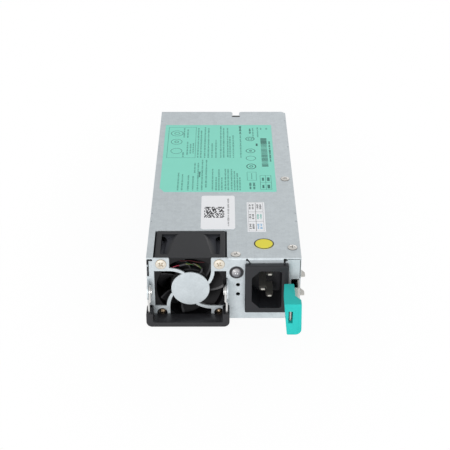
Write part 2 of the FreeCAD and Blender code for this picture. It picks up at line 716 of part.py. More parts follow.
def motor_base():
    """Motor base disc, bearing tower and the struts that join them to the duct."""
    disc = fan_rod(HUB_RADIUS, MOTOR_BASE_FRONT, STRUT_DEPTH)
    tower_front = HUB_FRONT + HUB_CAP + SHAFT_BOSS + STATOR_GAP
    tower = fan_rod(TOWER_RADIUS, tower_front, MOTOR_BASE_FRONT - tower_front)
    struts = []
    strut = block(around(FAN_X, STRUT_WIDTH), (MOTOR_BASE_FRONT, FAN_REAR),
                  (MIDDLE_Z, MIDDLE_Z + DUCT_RADIUS + FAN_WALL / 2))
    for index in range(STRUT_COUNT):
        struts.append(turned_about_fan(strut, STRUT_TURN + 360 * index / STRUT_COUNT))
    base = fused([disc, tower] + struts)
    bore = fan_rod(SLEEVE_RADIUS, tower_front - THROUGH, MOTOR_BASE_FRONT - tower_front + THROUGH)
    return [base.cut(bore)]


def bearing_sleeve():
    """Bearing in the motor base's tower."""
    start = HUB_FRONT + HUB_CAP + SHAFT_BOSS + STATOR_GAP
    length = MOTOR_BASE_FRONT - start
    return tube(SLEEVE_RADIUS, SHAFT_RADIUS + SHAFT_RUNNING, V(FAN_X, start, MIDDLE_Z), BACK, length)


def stator_span():
    """Start and end of the stator along Y."""
    start = HUB_FRONT + HUB_CAP + SHAFT_BOSS + 2 * STATOR_GAP
    return start, start + STATOR_LENGTH


def shoe_top():
    """Height of a pole shoe's top above the axis, its corners inside the magnet ring."""
    reach = HUB_RADIUS - HUB_WALL - MAGNET_THICK - STATOR_GAP
    return math.sqrt(reach ** 2 - (POLE_WIDTH / 2 + SHOE_OVERHANG) ** 2)


def fan_stator():
    """Laminated core on the tower, with pole arms that end in flat shoes."""
    start, end = stator_span()
    top = MIDDLE_Z + shoe_top()
    pieces = [fan_rod(TOWER_RADIUS + SLEEVE_WALL, start, end - start)]
    arm = block(around(FAN_X, POLE_WIDTH), (start, end), (MIDDLE_Z, top))
    shoe = block(around(FAN_X, POLE_WIDTH + 2 * SHOE_OVERHANG), (start, end), (top - SHOE_THICK, top))
    pole = arm.fuse(shoe)
    for index in range(STATOR_POLES):
        pieces.append(turned_about_fan(pole, 360 * index / STATOR_POLES))
    bore = fan_rod(TOWER_RADIUS + ROUND_FIT, start - THROUGH, end - start + 2 * THROUGH)
    return fused(pieces).cut(bore)


def fan_coils():
    """Copper coils round the stator's pole arms."""
    start, end = stator_span()
    low = MIDDLE_Z + TOWER_RADIUS + SLEEVE_WALL + COIL_GAP
    high = MIDDLE_Z + shoe_top() - SHOE_THICK - COIL_GAP
    outer = block(around(FAN_X, POLE_WIDTH + 2 * COIL_THICK), (start - COIL_THICK, end + COIL_THICK),
                  (low, high))
    inner = block(around(FAN_X, POLE_WIDTH), (start, end), (low - THROUGH, high + THROUGH))
    coil = outer.cut(inner)
    return Part.makeCompound([turned_about_fan(coil, 360 * k / STATOR_POLES) for k in range(STATOR_POLES)])


def blade_outline():
    """Corners (x, y) of a blade seen along its span: flat panels that follow a cambered line."""
    lean = -math.radians(BLADE_STAGGER)
    chord = BLADE_LENGTH / math.cos(lean)
    along = V(math.sin(lean), math.cos(lean), 0)
    across = V(math.cos(lean), -math.sin(lean), 0)
    middle = V(FAN_X, HUB_FRONT + BLADE_SETBACK + BLADE_LENGTH / 2, 0)
    stations = ((-1.0, 0.0, BLADE_EDGE), (-BLADE_PANEL, BLADE_SWELL, BLADE_THICK),
                (BLADE_PANEL, BLADE_SWELL, BLADE_THICK), (1.0, 0.0, BLADE_EDGE))
    sides = []
    for side in (0.5, -0.5):
        sides.append([middle + along * (share * chord / 2) + across * (swell * BLADE_CAMBER + side * thick)
                      for share, swell, thick in stations])
    return [(point.x, point.y, 0) for point in sides[0] + sides[1][::-1]]


def fan_blade():
    """One blade, from inside the hub's wall to the gap at the duct."""
    low = MIDDLE_Z + HUB_RADIUS * math.cos(math.radians(BLADE_STAGGER)) / 2
    blank = floor_plate(blade_outline(), low, TIP_RADIUS)
    start = V(FAN_X, FAN_FRONT - FAN_DEPTH, MIDDLE_Z)
    ring = tube(TIP_RADIUS, HUB_RADIUS - HUB_WALL / 2, start, BACK, 3 * FAN_DEPTH)
    return blank.common(ring)


def fan_impeller():
    """Impeller: a cup-shaped hub with a ring of flat, tilted blades and a boss for the shaft."""
    hub = fan_rod(HUB_RADIUS, HUB_FRONT, HUB_LENGTH)
    rim = [edge for edge in hub.Edges if abs(edge.CenterOfMass.y - HUB_FRONT) < HUB_EDGE / 2]
    hub = hub.makeChamfer(HUB_EDGE, rim)
    hub = hub.cut(fan_rod(HUB_RADIUS - HUB_WALL, HUB_FRONT + HUB_CAP, HUB_LENGTH))
    boss = fan_rod(TOWER_RADIUS, HUB_FRONT + HUB_CAP - SHEET, SHAFT_BOSS + SHEET)
    blade = fan_blade()
    blades = [turned_about_fan(blade, BLADE_START + 360 * k / BLADE_COUNT) for k in range(BLADE_COUNT)]
    body = fused([hub, boss] + blades)
    return body.cut(fan_rod(SHAFT_RADIUS, HUB_FRONT + HUB_CAP, HUB_LENGTH))


def rotor_shaft():
    """Steel shaft pressed into the hub's boss and running in the sleeve."""
    start = HUB_FRONT + HUB_CAP
    return fan_rod(SHAFT_RADIUS, start, MOTOR_BASE_FRONT - STATOR_GAP - start)


def magnet_ring():
    """Ring magnet lining the hub's wall."""
    outer = HUB_RADIUS - HUB_WALL
    start = V(FAN_X, stator_span()[0], MIDDLE_Z)
    return tube(outer, outer - MAGNET_THICK, start, BACK, STATOR_LENGTH + COIL_THICK)


def fan_screws():
    """Two large-headed screws on the upper pads and two small ones inside the lower pads' holes."""
    screws = []
    for index, (x, z) in enumerate(fan_hole_places()):
        if index < 2:
            screws.append(screw(FAN_SCREW_SMALL, SCREW_HEAD_THICK, FAN_SCREW_SHANK, FAN_SCREW_LENGTH,
                                V(x, FAN_FRONT, z), BACK))
        else:
            screws.append(screw(FAN_SCREW_HEAD, SCREW_HEAD_THICK, FAN_SCREW_SHANK, FAN_SCREW_LENGTH,
                                V(x, FRONT_Y, z), BACK))
    return Part.makeCompound(screws)


def cover_screws():
    """Three screws through the cover: two into the tray's lips, one into the divider's lip."""
    return Part.makeCompound([screw(SCREW_HEAD, SCREW_HEAD_THICK, SCREW_SHANK, SCREW_LENGTH, place, DOWN)
                              for place in cover_screw_places()])


def inlet_housing():
    """Mains inlet: flange in front of the face, body behind it and the recess with two cut corners."""
    front = FRONT_Y - INLET_FLANGE
    across, high = around(INLET_X, INLET_FLANGE_WIDTH), around(INLET_Z, INLET_FLANGE_HEIGHT)
    flange = front_plate(rectangle(across, high, INLET_CORNER), front, INLET_FLANGE)
    across, high = around(INLET_X, INLET_BODY_WIDTH), around(INLET_Z, INLET_BODY_HEIGHT)
    body = front_plate(rectangle(across, high, INLET_CORNER), FRONT_Y, SHEET + INLET_BODY_DEPTH)
    rim = [edge for edge in flange.Edges if abs(edge.CenterOfMass.y - front) < TOUCH]
    flange = flange.makeChamfer(INLET_RIM, rim)
    left, right = around(INLET_X, RECESS_WIDTH)
    low, high = around(INLET_Z, RECESS_HEIGHT)
    cut = RECESS_CHAMFER
    outline = [(left, low + cut, RECESS_CUT_CORNER), (left + cut, low, RECESS_CUT_CORNER),
               (right, low, RECESS_CORNER), (right, high, RECESS_CORNER),
               (left + cut, high, RECESS_CUT_CORNER), (left, high - cut, RECESS_CUT_CORNER)]
    recess = front_plate(outline, front - THROUGH, RECESS_DEPTH + THROUGH)
    housing = fused([flange, body]).cut(recess)
    return housing.cut([blade_bar(*place) for place in blade_places()])


def blade_places():
    """Centre (x, z) and recess depth of the tips of the line, neutral and earth blades."""
    return [(INLET_X + LINE_SHIFT, INLET_Z + LINE_PITCH / 2, LINE_TIP),
            (INLET_X + LINE_SHIFT, INLET_Z - LINE_PITCH / 2, LINE_TIP),
            (INLET_X + EARTH_SHIFT, INLET_Z, EARTH_TIP)]


def blade_bar(x, z, tip):
    """One blade from its tip to its tail's start, with slanted edges at the tip."""
    front = FRONT_Y - INLET_FLANGE + tip
    bar = block(around(x, BLADE_WIDE), (front, INLET_REAR + TAIL_THICK), around(z, BLADE_HIGH))
    nose = [edge for edge in bar.Edges if abs(edge.CenterOfMass.y - front) < TOUCH]
    return bar.makeChamfer(BLADE_NOSE, nose)


def inlet_blades():
    """Three blades whose tails turn down into the main board."""
    blades = []
    for index, (x, z, tip) in enumerate(blade_places()):
        rear = INLET_REAR + TAIL_LENGTH + index * TAIL_STEP
        run = block(around(x, TAIL_WIDE), (INLET_REAR, rear), around(z, TAIL_THICK))
        drop = block(around(x, TAIL_WIDE), (rear - TAIL_THICK, rear), (BOARD_TOP, z + TAIL_THICK / 2))
        blades.append(fused([blade_bar(x, z, tip), run, drop]))
    return Part.makeCompound(blades)


def lamp_holder():
    """Black ring through the front face, with a square collar behind the face."""
    ring = rod(LAMP_RING - ROUND_FIT, V(LAMP_X, FRONT_Y, LAMP_Z), BACK, SHEET + LAMP_BODY)
    width = 2 * (LAMP_RING + LAMP_COLLAR)
    collar = block(around(LAMP_X, width), (BEHIND_FACE, BEHIND_FACE + LAMP_COLLAR_THICK),
                   around(LAMP_Z, width))
    bore = rod(LAMP_LENS, V(LAMP_X, FRONT_Y - THROUGH, LAMP_Z), BACK, LAMP_BODY + 2 * THROUGH)
    return fused([ring, collar]).cut(bore)


def status_lamp():
    """Lamp with a bevelled front that stands a little proud of its ring."""
    front = FRONT_Y - LAMP_PROUD - LAMP_DOME
    body = rod(LAMP_LENS - ROUND_FIT, V(LAMP_X, front, LAMP_Z), BACK, LAMP_BODY - front + FRONT_Y)
    rim = [edge for edge in body.Edges if abs(edge.CenterOfMass.y - front) < TOUCH]
    return body.makeChamfer(LAMP_DOME, rim)


def main_board():
    """Circuit board: L-shaped, with an edge tongue that reaches through the rear panel."""
    left, right = around(0, EDGE_WIDTH)
    tip = REAR_Y + EDGE_PROUD
    round_off = BOARD_CORNER
    corners = [(BOARD_LEFT, BOARD_STEP, round_off), (STEP_X, BOARD_STEP, 0),
               (STEP_X, BOARD_FRONT, round_off), (BOARD_RIGHT, BOARD_FRONT, round_off),
               (BOARD_RIGHT, BOARD_REAR, round_off), (right, BOARD_REAR, 0), (right, tip, EDGE_CHAMFER),
               (left, tip, EDGE_CHAMFER), (left, BOARD_REAR, 0), (BOARD_LEFT, BOARD_REAR, round_off)]
    board = floor_plate(corners, BOARD_LOW, BOARD_THICK)
    for x, y in board_hole_places():
        board = board.cut(rod(BOARD_HOLE, V(x, y, BOARD_LOW - THROUGH), UP, BOARD_THICK + 2 * THROUGH))
    return board


def board_hole_places():
    """Centres of the board's mounting holes."""
    left = BOARD_LEFT + BOARD_HOLE_INSET
    right = BOARD_RIGHT - BOARD_HOLE_INSET
    rear = BOARD_REAR - BOARD_HOLE_INSET
    inset = BOARD_HOLE_INSET
    return [(left, BOARD_STEP + inset), (right, BOARD_FRONT + inset), (left, rear), (right, rear)]


def edge_contacts():
    """Gold contacts on both faces of the board's edge tongue."""
    count = int((EDGE_WIDTH - 2 * EDGE_CHAMFER) / CONTACT_PITCH)
    end = REAR_Y + EDGE_PROUD - EDGE_CHAMFER
    contacts = []
    for index in range(count):
        x = (index - (count - 1) / 2) * CONTACT_PITCH
        for low in (BOARD_TOP, BOARD_LOW - CONTACT_THICK):
            contacts.append(block(around(x, CONTACT_WIDTH), (end - CONTACT_LENGTH, end),
                                  (low, low + CONTACT_THICK)))
    return Part.makeCompound(contacts)


def standoffs():
    """Hexagonal posts on the tray's floor that carry the board."""
    posts = []
    for x, y in board_hole_places():
        post = floor_plate(hexagon(x, y, STANDOFF_RADIUS), FLOOR_Z, STANDOFF_HEIGHT)
        bore = rod(BOARD_SCREW_SHANK, V(x, y, FLOOR_Z - THROUGH), UP, STANDOFF_HEIGHT + 2 * THROUGH)
        posts.append(post.cut(bore))
    return Part.makeCompound(posts)


def board_screws():
    """Hexagon-headed screws that hold the board on its posts."""
    length = BOARD_THICK + STANDOFF_HEIGHT / 2
    screws = []
    for x, y in board_hole_places():
        head = floor_plate(hexagon(x, y, BOARD_SCREW_HEAD), BOARD_TOP, BOARD_SCREW_THICK)
        screws.append(fused([head, rod(BOARD_SCREW_SHANK, V(x, y, BOARD_TOP), DOWN, length)]))
    return Part.makeCompound(screws)


def insulating_film():
    """Film on the tray's floor under the board, with square holes for the posts."""
    film = block((BOARD_LEFT + FILM_MARGIN, BOARD_RIGHT - FILM_MARGIN),
                 (BOARD_STEP, BOARD_REAR - FILM_MARGIN), (FLOOR_Z, FLOOR_Z + FILM_THICK))
    width = 2 * (STANDOFF_RADIUS + FILM_HOLE_GAP)
    through = (FLOOR_Z - THROUGH, FLOOR_Z + FILM_THICK + THROUGH)
    return film.cut([block(around(x, width), around(y, width), through) for x, y in board_hole_places()])


def pivot_ends():
    """For each side of the handle: sign, ear's outer face and arm's inner face, as X."""
    arm_inner = EAR_REACH - SHEET - ARM_GAP - ARM_THICK
    return [(side, HANDLE_X + side * EAR_REACH, HANDLE_X + side * arm_inner) for side in (-1, 1)]


def handle_rivets():
    """Rivets fixed in the ears, flush outside and with a head inside, on which the arms swing."""
    rivets = []
    for side, outer, inner in pivot_ends():
        out = RIGHT * side
        inner_face = V(inner, PIVOT_Y, PIVOT_Z) - out * ARM_GAP
        shank = rod(PIVOT_RADIUS, inner_face, out, abs(outer - inner) + ARM_GAP)
        head = rod(PIVOT_HEAD, inner_face - out * PIVOT_HEAD_THICK, out, PIVOT_HEAD_THICK)
        rivets.append(fused([shank, head]))
    return Part.makeCompound(rivets)


def handle_arm(side):
    """Steel arm: round at the pivot, with a small outward jog above the grip."""
    outer = EAR_REACH - SHEET - ARM_GAP
    inner = outer - ARM_THICK
    half = ARM_WIDTH / 2
    foot = GRIP_LIFT + GRIP_BAR + SOCKET_FLOOR
    jog_top = PIVOT_Z - ARM_JOG_DROP
    jog_low = jog_top - ARM_JOG_LENGTH
    section = [(inner, PIVOT_Z + half, 0), (outer, PIVOT_Z + half, 0), (outer, jog_top, ARM_BEND),
               (outer + ARM_JOG, jog_low, ARM_BEND), (outer + ARM_JOG, foot, 0), (inner + ARM_JOG, foot, 0),
               (inner + ARM_JOG, jog_low, ARM_BEND), (inner, jog_top, ARM_BEND)]
    mirrored = [(HANDLE_X + side * x, z, radius) for x, z, radius in section]
    band = front_plate(mirrored, PIVOT_Y - half, ARM_WIDTH)
    outline = [(PIVOT_Y - half, foot, 0), (PIVOT_Y + half, foot, 0),
               (PIVOT_Y + half, PIVOT_Z + half, half * ROUND_SHARE),
               (PIVOT_Y - half, PIVOT_Z + half, half * ROUND_SHARE)]
    low_x = HANDLE_X - EAR_REACH - THROUGH
    profile = side_plate(outline, low_x, 2 * EAR_REACH + 2 * THROUGH)
    hole = rod(PIVOT_RADIUS + PIVOT_RUNNING, V(low_x, PIVOT_Y, PIVOT_Z), RIGHT, 2 * EAR_REACH + 2 * THROUGH)
    return band.common(profile).cut(hole)


def handle_grip():
    """Plastic grip: a bar with upright ends that hold the arms in sockets."""
    half = EAR_REACH + GRIP_OVERHANG
    top = GRIP_LIFT + GRIP_HEIGHT
    bar_top = GRIP_LIFT + GRIP_BAR
    inner = half - GRIP_END
    corners = [(-half, GRIP_LIFT, GRIP_CORNER), (half, GRIP_LIFT, GRIP_CORNER), (half, top, GRIP_EDGE),
               (inner, top, GRIP_EDGE), (inner, bar_top, GRIP_INNER_CORNER),
               (-inner, bar_top, GRIP_INNER_CORNER), (-inner, top, GRIP_EDGE), (-half, top, GRIP_EDGE)]
    placed = [(HANDLE_X + x, z, radius) for x, z, radius in corners]
    front = FRONT_Y - GRIP_STANDOFF - GRIP_DEPTH
    grip = front_plate(placed, front, GRIP_DEPTH)
    rims = [edge for edge in grip.Edges if abs(edge.CenterOfMass.y - front) < TOUCH]
    grip = grip.makeChamfer(GRIP_RIM, rims)
    arm_outer = EAR_REACH - SHEET - ARM_GAP + ARM_JOG
    sockets = []
    for side in (-1, 1):
        across = sorted((HANDLE_X + side * (arm_outer + SOCKET_FIT),
                         HANDLE_X + side * (arm_outer - ARM_THICK - SOCKET_FIT)))
        sockets.append(block(across, around(PIVOT_Y, ARM_WIDTH + 2 * SOCKET_FIT),
                             (bar_top + SOCKET_FLOOR, top + THROUGH)))
    return grip.cut(sockets)


def latch_strip():
    """Sprung strip: a long leg inside the wall, a step beside the inlet and a tongue in the tab."""
    front = FRONT_Y - LATCH_OUT
    tongue_outer = LATCH_OUTER - LATCH_STEP
    tongue_inner = tongue_outer - LATCH_THICK
    tongue_tip = front - LATCH_THICK - TONGUE_REACH
    sharp = LATCH_INNER_BEND
    corners = [(LATCH_OUTER, LATCH_ROOT_Y, 0), (LATCH_INNER, LATCH_ROOT_Y, 0), (LATCH_INNER, front, sharp),
               (tongue_inner, front, LATCH_BEND), (tongue_inner, tongue_tip, 0),
               (tongue_outer, tongue_tip, 0), (tongue_outer, front - LATCH_THICK, sharp),
               (LATCH_OUTER, front - LATCH_THICK, LATCH_BEND)]
    low, high = around(LATCH_Z, LATCH_HEIGHT)
    strip = floor_plate(corners, low, LATCH_HEIGHT)
    tongue_low, tongue_high = around(tongue_z(), TONGUE_HEIGHT)
    ahead = (tongue_tip - THROUGH, front - LATCH_THICK)
    waste_x = (tongue_inner - THROUGH, tongue_outer + THROUGH)
    strip = strip.cut([block(waste_x, ahead, (tongue_high, high + THROUGH)),
                       block(waste_x, ahead, (low - THROUGH, tongue_low))])
    return fused([strip] + latch_teeth())


def tongue_z():
    """Height of the tongue's middle, which is the tab window's middle too."""
    return LATCH_Z + TONGUE_RAISED


def latch_teeth():
    """Two teeth at the strip's upper and lower edges: square in front, rounded off to the rear."""
    tip = RIGHT_X + TOOTH_PROUD
    front = FRONT_Y + TOOTH_FRONT
    rear = front + TOOTH_LENGTH
    corners = [(LATCH_INNER, front, 0), (tip, front, TOOTH_CORNER), (tip, front + TOOTH_FLAT, TOOTH_ROUND),
               (RIGHT_X, rear, 0), (LATCH_INNER, rear, 0)]
    lows = (LATCH_Z + LATCH_HEIGHT / 2 - LATCH_THICK, LATCH_Z - LATCH_HEIGHT / 2)
    return [floor_plate(corners, low, LATCH_THICK) for low in lows]


def latch_foot():
    """Riveted foot of the strip on the inside of the right wall."""
    start = LATCH_ROOT_Y + LATCH_FOOT_GAP
    foot = block((INNER_RIGHT - LATCH_THICK, INNER_RIGHT), (start, start + LATCH_FOOT),
                 around(LATCH_Z, LATCH_HEIGHT))
    holes = [rod(LATCH_RIVET, V(INNER_RIGHT - LATCH_THICK - THROUGH, along, height), RIGHT, 3 * THROUGH)
             for along, height in latch_rivet_places()]
    return foot.cut(holes)


def latch_rivets():
    """Rivets through the latch's foot and the right wall, flush inside."""
    rivets = []
    for along, height in latch_rivet_places():
        shank = rod(LATCH_RIVET, V(INNER_RIGHT - LATCH_THICK, along, height), RIGHT, LATCH_THICK + SHEET)
        head = rod(LATCH_RIVET_HEAD, V(RIGHT_X, along, height), RIGHT, LATCH_RIVET_THICK)
        rivets.append(fused([shank, head]))
    return Part.makeCompound(rivets)


def latch_tab():
    """Plastic tab: a neck on the tongue that widens into the finger piece, with a window in front."""
    middle = LATCH_OUTER - LATCH_STEP - LATCH_THICK / 2
    rear = FRONT_Y - LATCH_OUT - LATCH_THICK - TAB_GAP
    tip = rear - TAB_LENGTH
    neck_left = middle - TAB_NECK_WIDTH / 2
    neck_right = middle + TAB_NECK_WIDTH / 2
    left = neck_left - TAB_EDGE
    right = left + TAB_WIDE
    flare = rear - TAB_NECK_LENGTH
    plan = [(neck_left, rear, TAB_EDGE), (neck_right, rear, TAB_EDGE), (neck_right, flare, TAB_EDGE),
            (right, flare - TAB_FLARE, TAB_EDGE), (right, tip, TAB_EDGE / 2), (left, tip, TAB_EDGE / 2),
            (left, flare, TAB_FLARE)]
    low, high = around(LATCH_Z + TAB_TOP_DROP / 2, TAB_HEIGHT)
    body = floor_plate(plan, low, TAB_HEIGHT)
    face = [(left, high, TAB_EDGE / 2), (right - TAB_EDGE / 2, high, TAB_EDGE / 2),
            (right, low, TAB_CORNER), (left + TAB_TAPER, low, TAB_EDGE)]
    body = body.common(front_plate(face, tip - THROUGH, TAB_LENGTH + 2 * THROUGH))
    hole = block(around(middle, LATCH_THICK + 2 * TAB_FIT), (tip - THROUGH, rear + THROUGH),
                 around(tongue_z(), TONGUE_HEIGHT + 2 * TAB_FIT))
    window = block(around(middle, TAB_WINDOW_WIDTH), (tip - THROUGH, tip + TAB_WINDOW_DEPTH),
                   around(tongue_z(), TAB_WINDOW_HEIGHT))
    return body.cut([hole, window])


# Power circuits on the board. The front group is set out from the front face and the rear group from
# the rear. The bulk capacitors and the primary heatsink fill the room between them. Places are X and
# the depth behind the front face.
GROUP_GAP = 6.0
REAR_GROUP = 57.0
REAR_START = CASE_LENGTH - REAR_GROUP
SCREW_CLEARANCE = 0.5
POTTED_EDGE = 0.8
RING_SIDES = 12
RING_FIRST = -75.0
WOUND_SIDES = 5
CHOKE_OUTER = 9.5
CHOKE_INNER = 5.5
CHOKE_WIDTH = 8.0
CHOKE_TURN = 1.6
CHOKE_PLACE = (BOARD_RIGHT - 16.2, 42.0)
BOOST_BELOW_ROOF = 7.8
BOOST_SIZE = (30.0, 26.0, ROOF_Z - BOARD_TOP - BOOST_BELOW_ROOF)
BOOST_LEG = 5.0
BOOST_START = BOARD_STEP - FRONT_Y + BOARD_HOLE_INSET + BOARD_SCREW_HEAD + SCREW_CLEARANCE
BOOST_PLACE = (BOARD_LEFT + 19.2, BOOST_START + BOOST_SIZE[1] / 2)
FILTER_SIZE = (7.5, 18.0, 15.0)
FILTER_PLACES = ((BOARD_RIGHT - 30.2, 36.0), (BOARD_RIGHT - 6.2, 60.5))
DISC_SIZE = (3.2, 6.0, 8.0)
DISC_PLACES = ((BOARD_RIGHT - 25.2, 57.0), (BOARD_RIGHT - 19.2, 57.0))
FUSE_RADIUS = 2.6
FUSE_CAP_STEP = 0.2
FUSE_LENGTH = 20.0
FUSE_CAP = 5.0
FUSE_X = BOARD_RIGHT - 5.7
FUSE_START = 29.5
RELAY_SIZE = (15.0, 12.0, 16.0)
RELAY_PLACE = (BOARD_RIGHT - 19.2, 70.0)
BULK_RADIUS = 12.5
BULK_X = (BOARD_LEFT + 15.2, BOARD_RIGHT - 14.7)
BULK_START = 82.0
BULK_LENGTH = REAR_START - GROUP_GAP - BULK_START
SINK_THICK = 2.2
SINK_FIN = 5.0
SINK_FIN_THICK = 1.2
SINK_FIN_PITCH = 4.4
SINK_BELOW_ROOF = 3.8
SINK_HEIGHT = ROOF_Z - BOARD_TOP - SINK_BELOW_ROOF
PRIMARY_SINK_X = 3.0
PRIMARY_SINK_START = 66.0
PRIMARY_SINK = (PRIMARY_SINK_X, PRIMARY_SINK_START, REAR_START - GROUP_GAP - PRIMARY_SINK_START)
OUTPUT_SINK = (BOARD_RIGHT - 20.2, REAR_START, 34.0)
DEVICE_SIZE = (4.6, 12.0, 16.0)
DEVICE_LEG = 4.0
DEVICE_PITCH = 15.0
DEVICE_LEG_PITCH = 3.2
DEVICE_LEG_WIDTH = 0.9
CORE_BELOW_ROOF = 6.8
CORE_SIZE = (34.0, 26.0, ROOF_Z - BOARD_TOP - CORE_BELOW_ROOF)
CORE_LEG = 5.5
BOBBIN_GAP = 0.3
TRANSFORMER_PLACE = (BOARD_LEFT + 25.2, REAR_START + CORE_SIZE[1] / 2)
INDUCTOR_SIZE = (14.0, 14.0, 12.0)
INDUCTOR_PLACE = (PRIMARY_SINK_X, REAR_START + 34.0)
INDUCTOR_LEAD = 1.2
OUTPUT_CAN_RADIUS = 4.0
OUTPUT_CAN_HEIGHT = 16.0
OUTPUT_CAN_PITCH = 9.4
OUTPUT_CAN_COUNT = 6
OUTPUT_CANS_Y = REAR_START + 47.0
OUTPUT_CANS_X = BOARD_LEFT + BOARD_HOLE_INSET + BOARD_SCREW_HEAD + SCREW_CLEARANCE + OUTPUT_CAN_RADIUS
CARD_HEADER = 3.0
CARD_HEADER_LENGTH = 35.0
CARD_BELOW_ROOF = 6.8
CARD_SIZE = (1.6, 44.0, ROOF_Z - BOARD_TOP - CARD_HEADER - CARD_BELOW_ROOF)
CARD_PLACE = (BOARD_RIGHT - 5.7, REAR_START + 21.0)
CHIP_SIZE = (1.4, 7.0, 7.0)
CHIP_COUNT = 4
CHIP_PITCH = 10.0
PLUG_SIZE = (11.0, 6.0, 7.0)
PLUG_PLACE = (FAN_X, 34.0)
LEAD_WIDTH = 6.4
LEAD_THICK = 1.2
LEAD_BEND = 3.0


def on_board(x, along, size, lift=0.0):
    """Box of a size (X, Y, Z) that stands on the board, centred on x and on a depth behind the face."""
    low = BOARD_TOP + lift
    return block(around(x, size[0]), around(FRONT_Y + along, size[1]), (low, low + size[2]))


def flat_ring(centre, outer, inner, width, first, last):
    """Part of a flat-sided ring about an axis along X, from its first corner to its last."""
    turns = [math.radians(RING_FIRST + 360 * k / RING_SIDES) for k in range(first, last + 1)]
    line = [centre + V(0, math.cos(turn) * outer, math.sin(turn) * outer) for turn in turns]
    line += [centre + V(0, math.cos(turn) * inner, math.sin(turn) * inner) for turn in reversed(turns)]
    return Part.Face(Part.makePolygon(line + line[:1])).extrude(RIGHT * width)


def filter_choke():
    """Common-mode choke: a ring core standing on edge and its two windings."""
    x, along = CHOKE_PLACE
    turn = CHOKE_TURN
    half = RING_SIDES // 2
    centre = V(x - CHOKE_WIDTH / 2, FRONT_Y + along, BOARD_TOP + turn + CHOKE_OUTER)
    core = fused([flat_ring(centre, CHOKE_OUTER, CHOKE_INNER, CHOKE_WIDTH, first, first + half)
                  for first in (0, half)])
    coils = []
    for first in (0, half):
        wound = flat_ring(centre - RIGHT * turn, CHOKE_OUTER + turn, CHOKE_INNER - turn,
                          CHOKE_WIDTH + 2 * turn, first, first + WOUND_SIDES)
        coils.append(wound.cut(core))
    return core, Part.makeCompound(coils)


def softened(solid):
    """Box with narrow chamfers on its upright edges and round its top."""
    low = solid.BoundBox.ZMin
    raised = [edge for edge in solid.Edges if edge.CenterOfMass.z > low + TOUCH]
    return solid.makeChamfer(POTTED_EDGE, raised)


def filter_capacitors():
    """Box-shaped film capacitors across the mains."""
    return Part.makeCompound([softened(on_board(x, along, FILTER_SIZE)) for x, along in FILTER_PLACES])


def disc_capacitors():
    """Small upright disc capacitors to earth."""
    return Part.makeCompound([softened(on_board(x, along, DISC_SIZE)) for x, along in DISC_PLACES])


def fuse_tube():
    """Ceramic tube of the fuse, lying on the board."""
    start = V(FUSE_X, FRONT_Y + FUSE_START + FUSE_CAP, BOARD_TOP + FUSE_RADIUS)
    return rod(FUSE_RADIUS - FUSE_CAP_STEP, start, BACK, FUSE_LENGTH - 2 * FUSE_CAP)


def fuse_caps():
    """Metal end caps of the fuse."""
    caps = []
    for along in (FUSE_START, FUSE_START + FUSE_LENGTH - FUSE_CAP):
        caps.append(rod(FUSE_RADIUS, V(FUSE_X, FRONT_Y + along, BOARD_TOP + FUSE_RADIUS), BACK, FUSE_CAP))
    return Part.makeCompound(caps)


def relay():
    """Inrush relay."""
    return softened(on_board(*RELAY_PLACE, RELAY_SIZE))


def bulk_capacitors():
    """Two bulk capacitors lying along the case."""
    start = FRONT_Y + BULK_START
    height = BOARD_TOP + BULK_RADIUS
    return Part.makeCompound([rod(BULK_RADIUS, V(x, start, height), BACK, BULK_LENGTH) for x in BULK_X])


def heatsink(x, along, length, fins_side):
    """Extruded heatsink: an upright plate with fins along one side."""
    size = (SINK_THICK, length, SINK_HEIGHT)
    plate = on_board(x, along + length / 2, size)
    fins = []
    count = int((SINK_HEIGHT - SINK_FIN_THICK) / SINK_FIN_PITCH) + 1
    for index in range(count):
        centre = x + fins_side * (SINK_THICK + SINK_FIN) / 2
        fin = (SINK_FIN, length, SINK_FIN_THICK)
        fins.append(on_board(centre, along + length / 2, fin, index * SINK_FIN_PITCH))
    return fused([plate] + fins)


def power_devices(x, along, length, side):
    """Power transistors against a heatsink's flat side, with their legs in the board."""
    devices = []
    centre = x + side * (SINK_THICK + DEVICE_SIZE[0]) / 2
    for index in range(int(length / DEVICE_PITCH)):
        middle = along + DEVICE_PITCH * index + DEVICE_PITCH / 2
        pieces = [on_board(centre, middle, DEVICE_SIZE, DEVICE_LEG)]
        for step in (-1, 0, 1):
            leg = (DEVICE_LEG_WIDTH, DEVICE_LEG_WIDTH, DEVICE_LEG)
            pieces.append(on_board(centre, middle + step * DEVICE_LEG_PITCH, leg))
        devices.append(fused(pieces))
    return devices


def framed_core(place, size, leg):
    """Ferrite core: a frame round the winding with a middle leg twice as thick as the outer ones."""
    core = on_board(*place, size)
    window = (size[0] - 4 * leg) / 2
    for side in (-1, 1):
        centre = place[0] + side * (leg + window / 2)
        core = core.cut(on_board(centre, place[1], (window, size[1] - 2 * leg, 3 * size[2]), -size[2]))
    return core


def core_winding(place, size, leg):
    """Winding in the core's windows, one half on each side of the middle leg."""
    window = (size[0] - 4 * leg) / 2
    halves = []
    for side in (-1, 1):
        centre = place[0] + side * (leg + window / 2)
        width = window - 2 * BOBBIN_GAP
        depth = size[1] - 2 * leg - 2 * BOBBIN_GAP
        halves.append(on_board(centre, place[1], (width, depth, size[2] + BOBBIN_GAP)))
    return Part.makeCompound(halves)


def output_inductor():
    """Moulded output inductor with two flat leads down its sides."""
    x, along = INDUCTOR_PLACE
    body = softened(on_board(x, along, INDUCTOR_SIZE))
    leads = [on_board(x + side * (INDUCTOR_SIZE[0] + INDUCTOR_LEAD) / 2, along,
                      (INDUCTOR_LEAD, INDUCTOR_SIZE[1] / 2, INDUCTOR_SIZE[2] / 2)) for side in (-1, 1)]
    return fused([body] + leads)


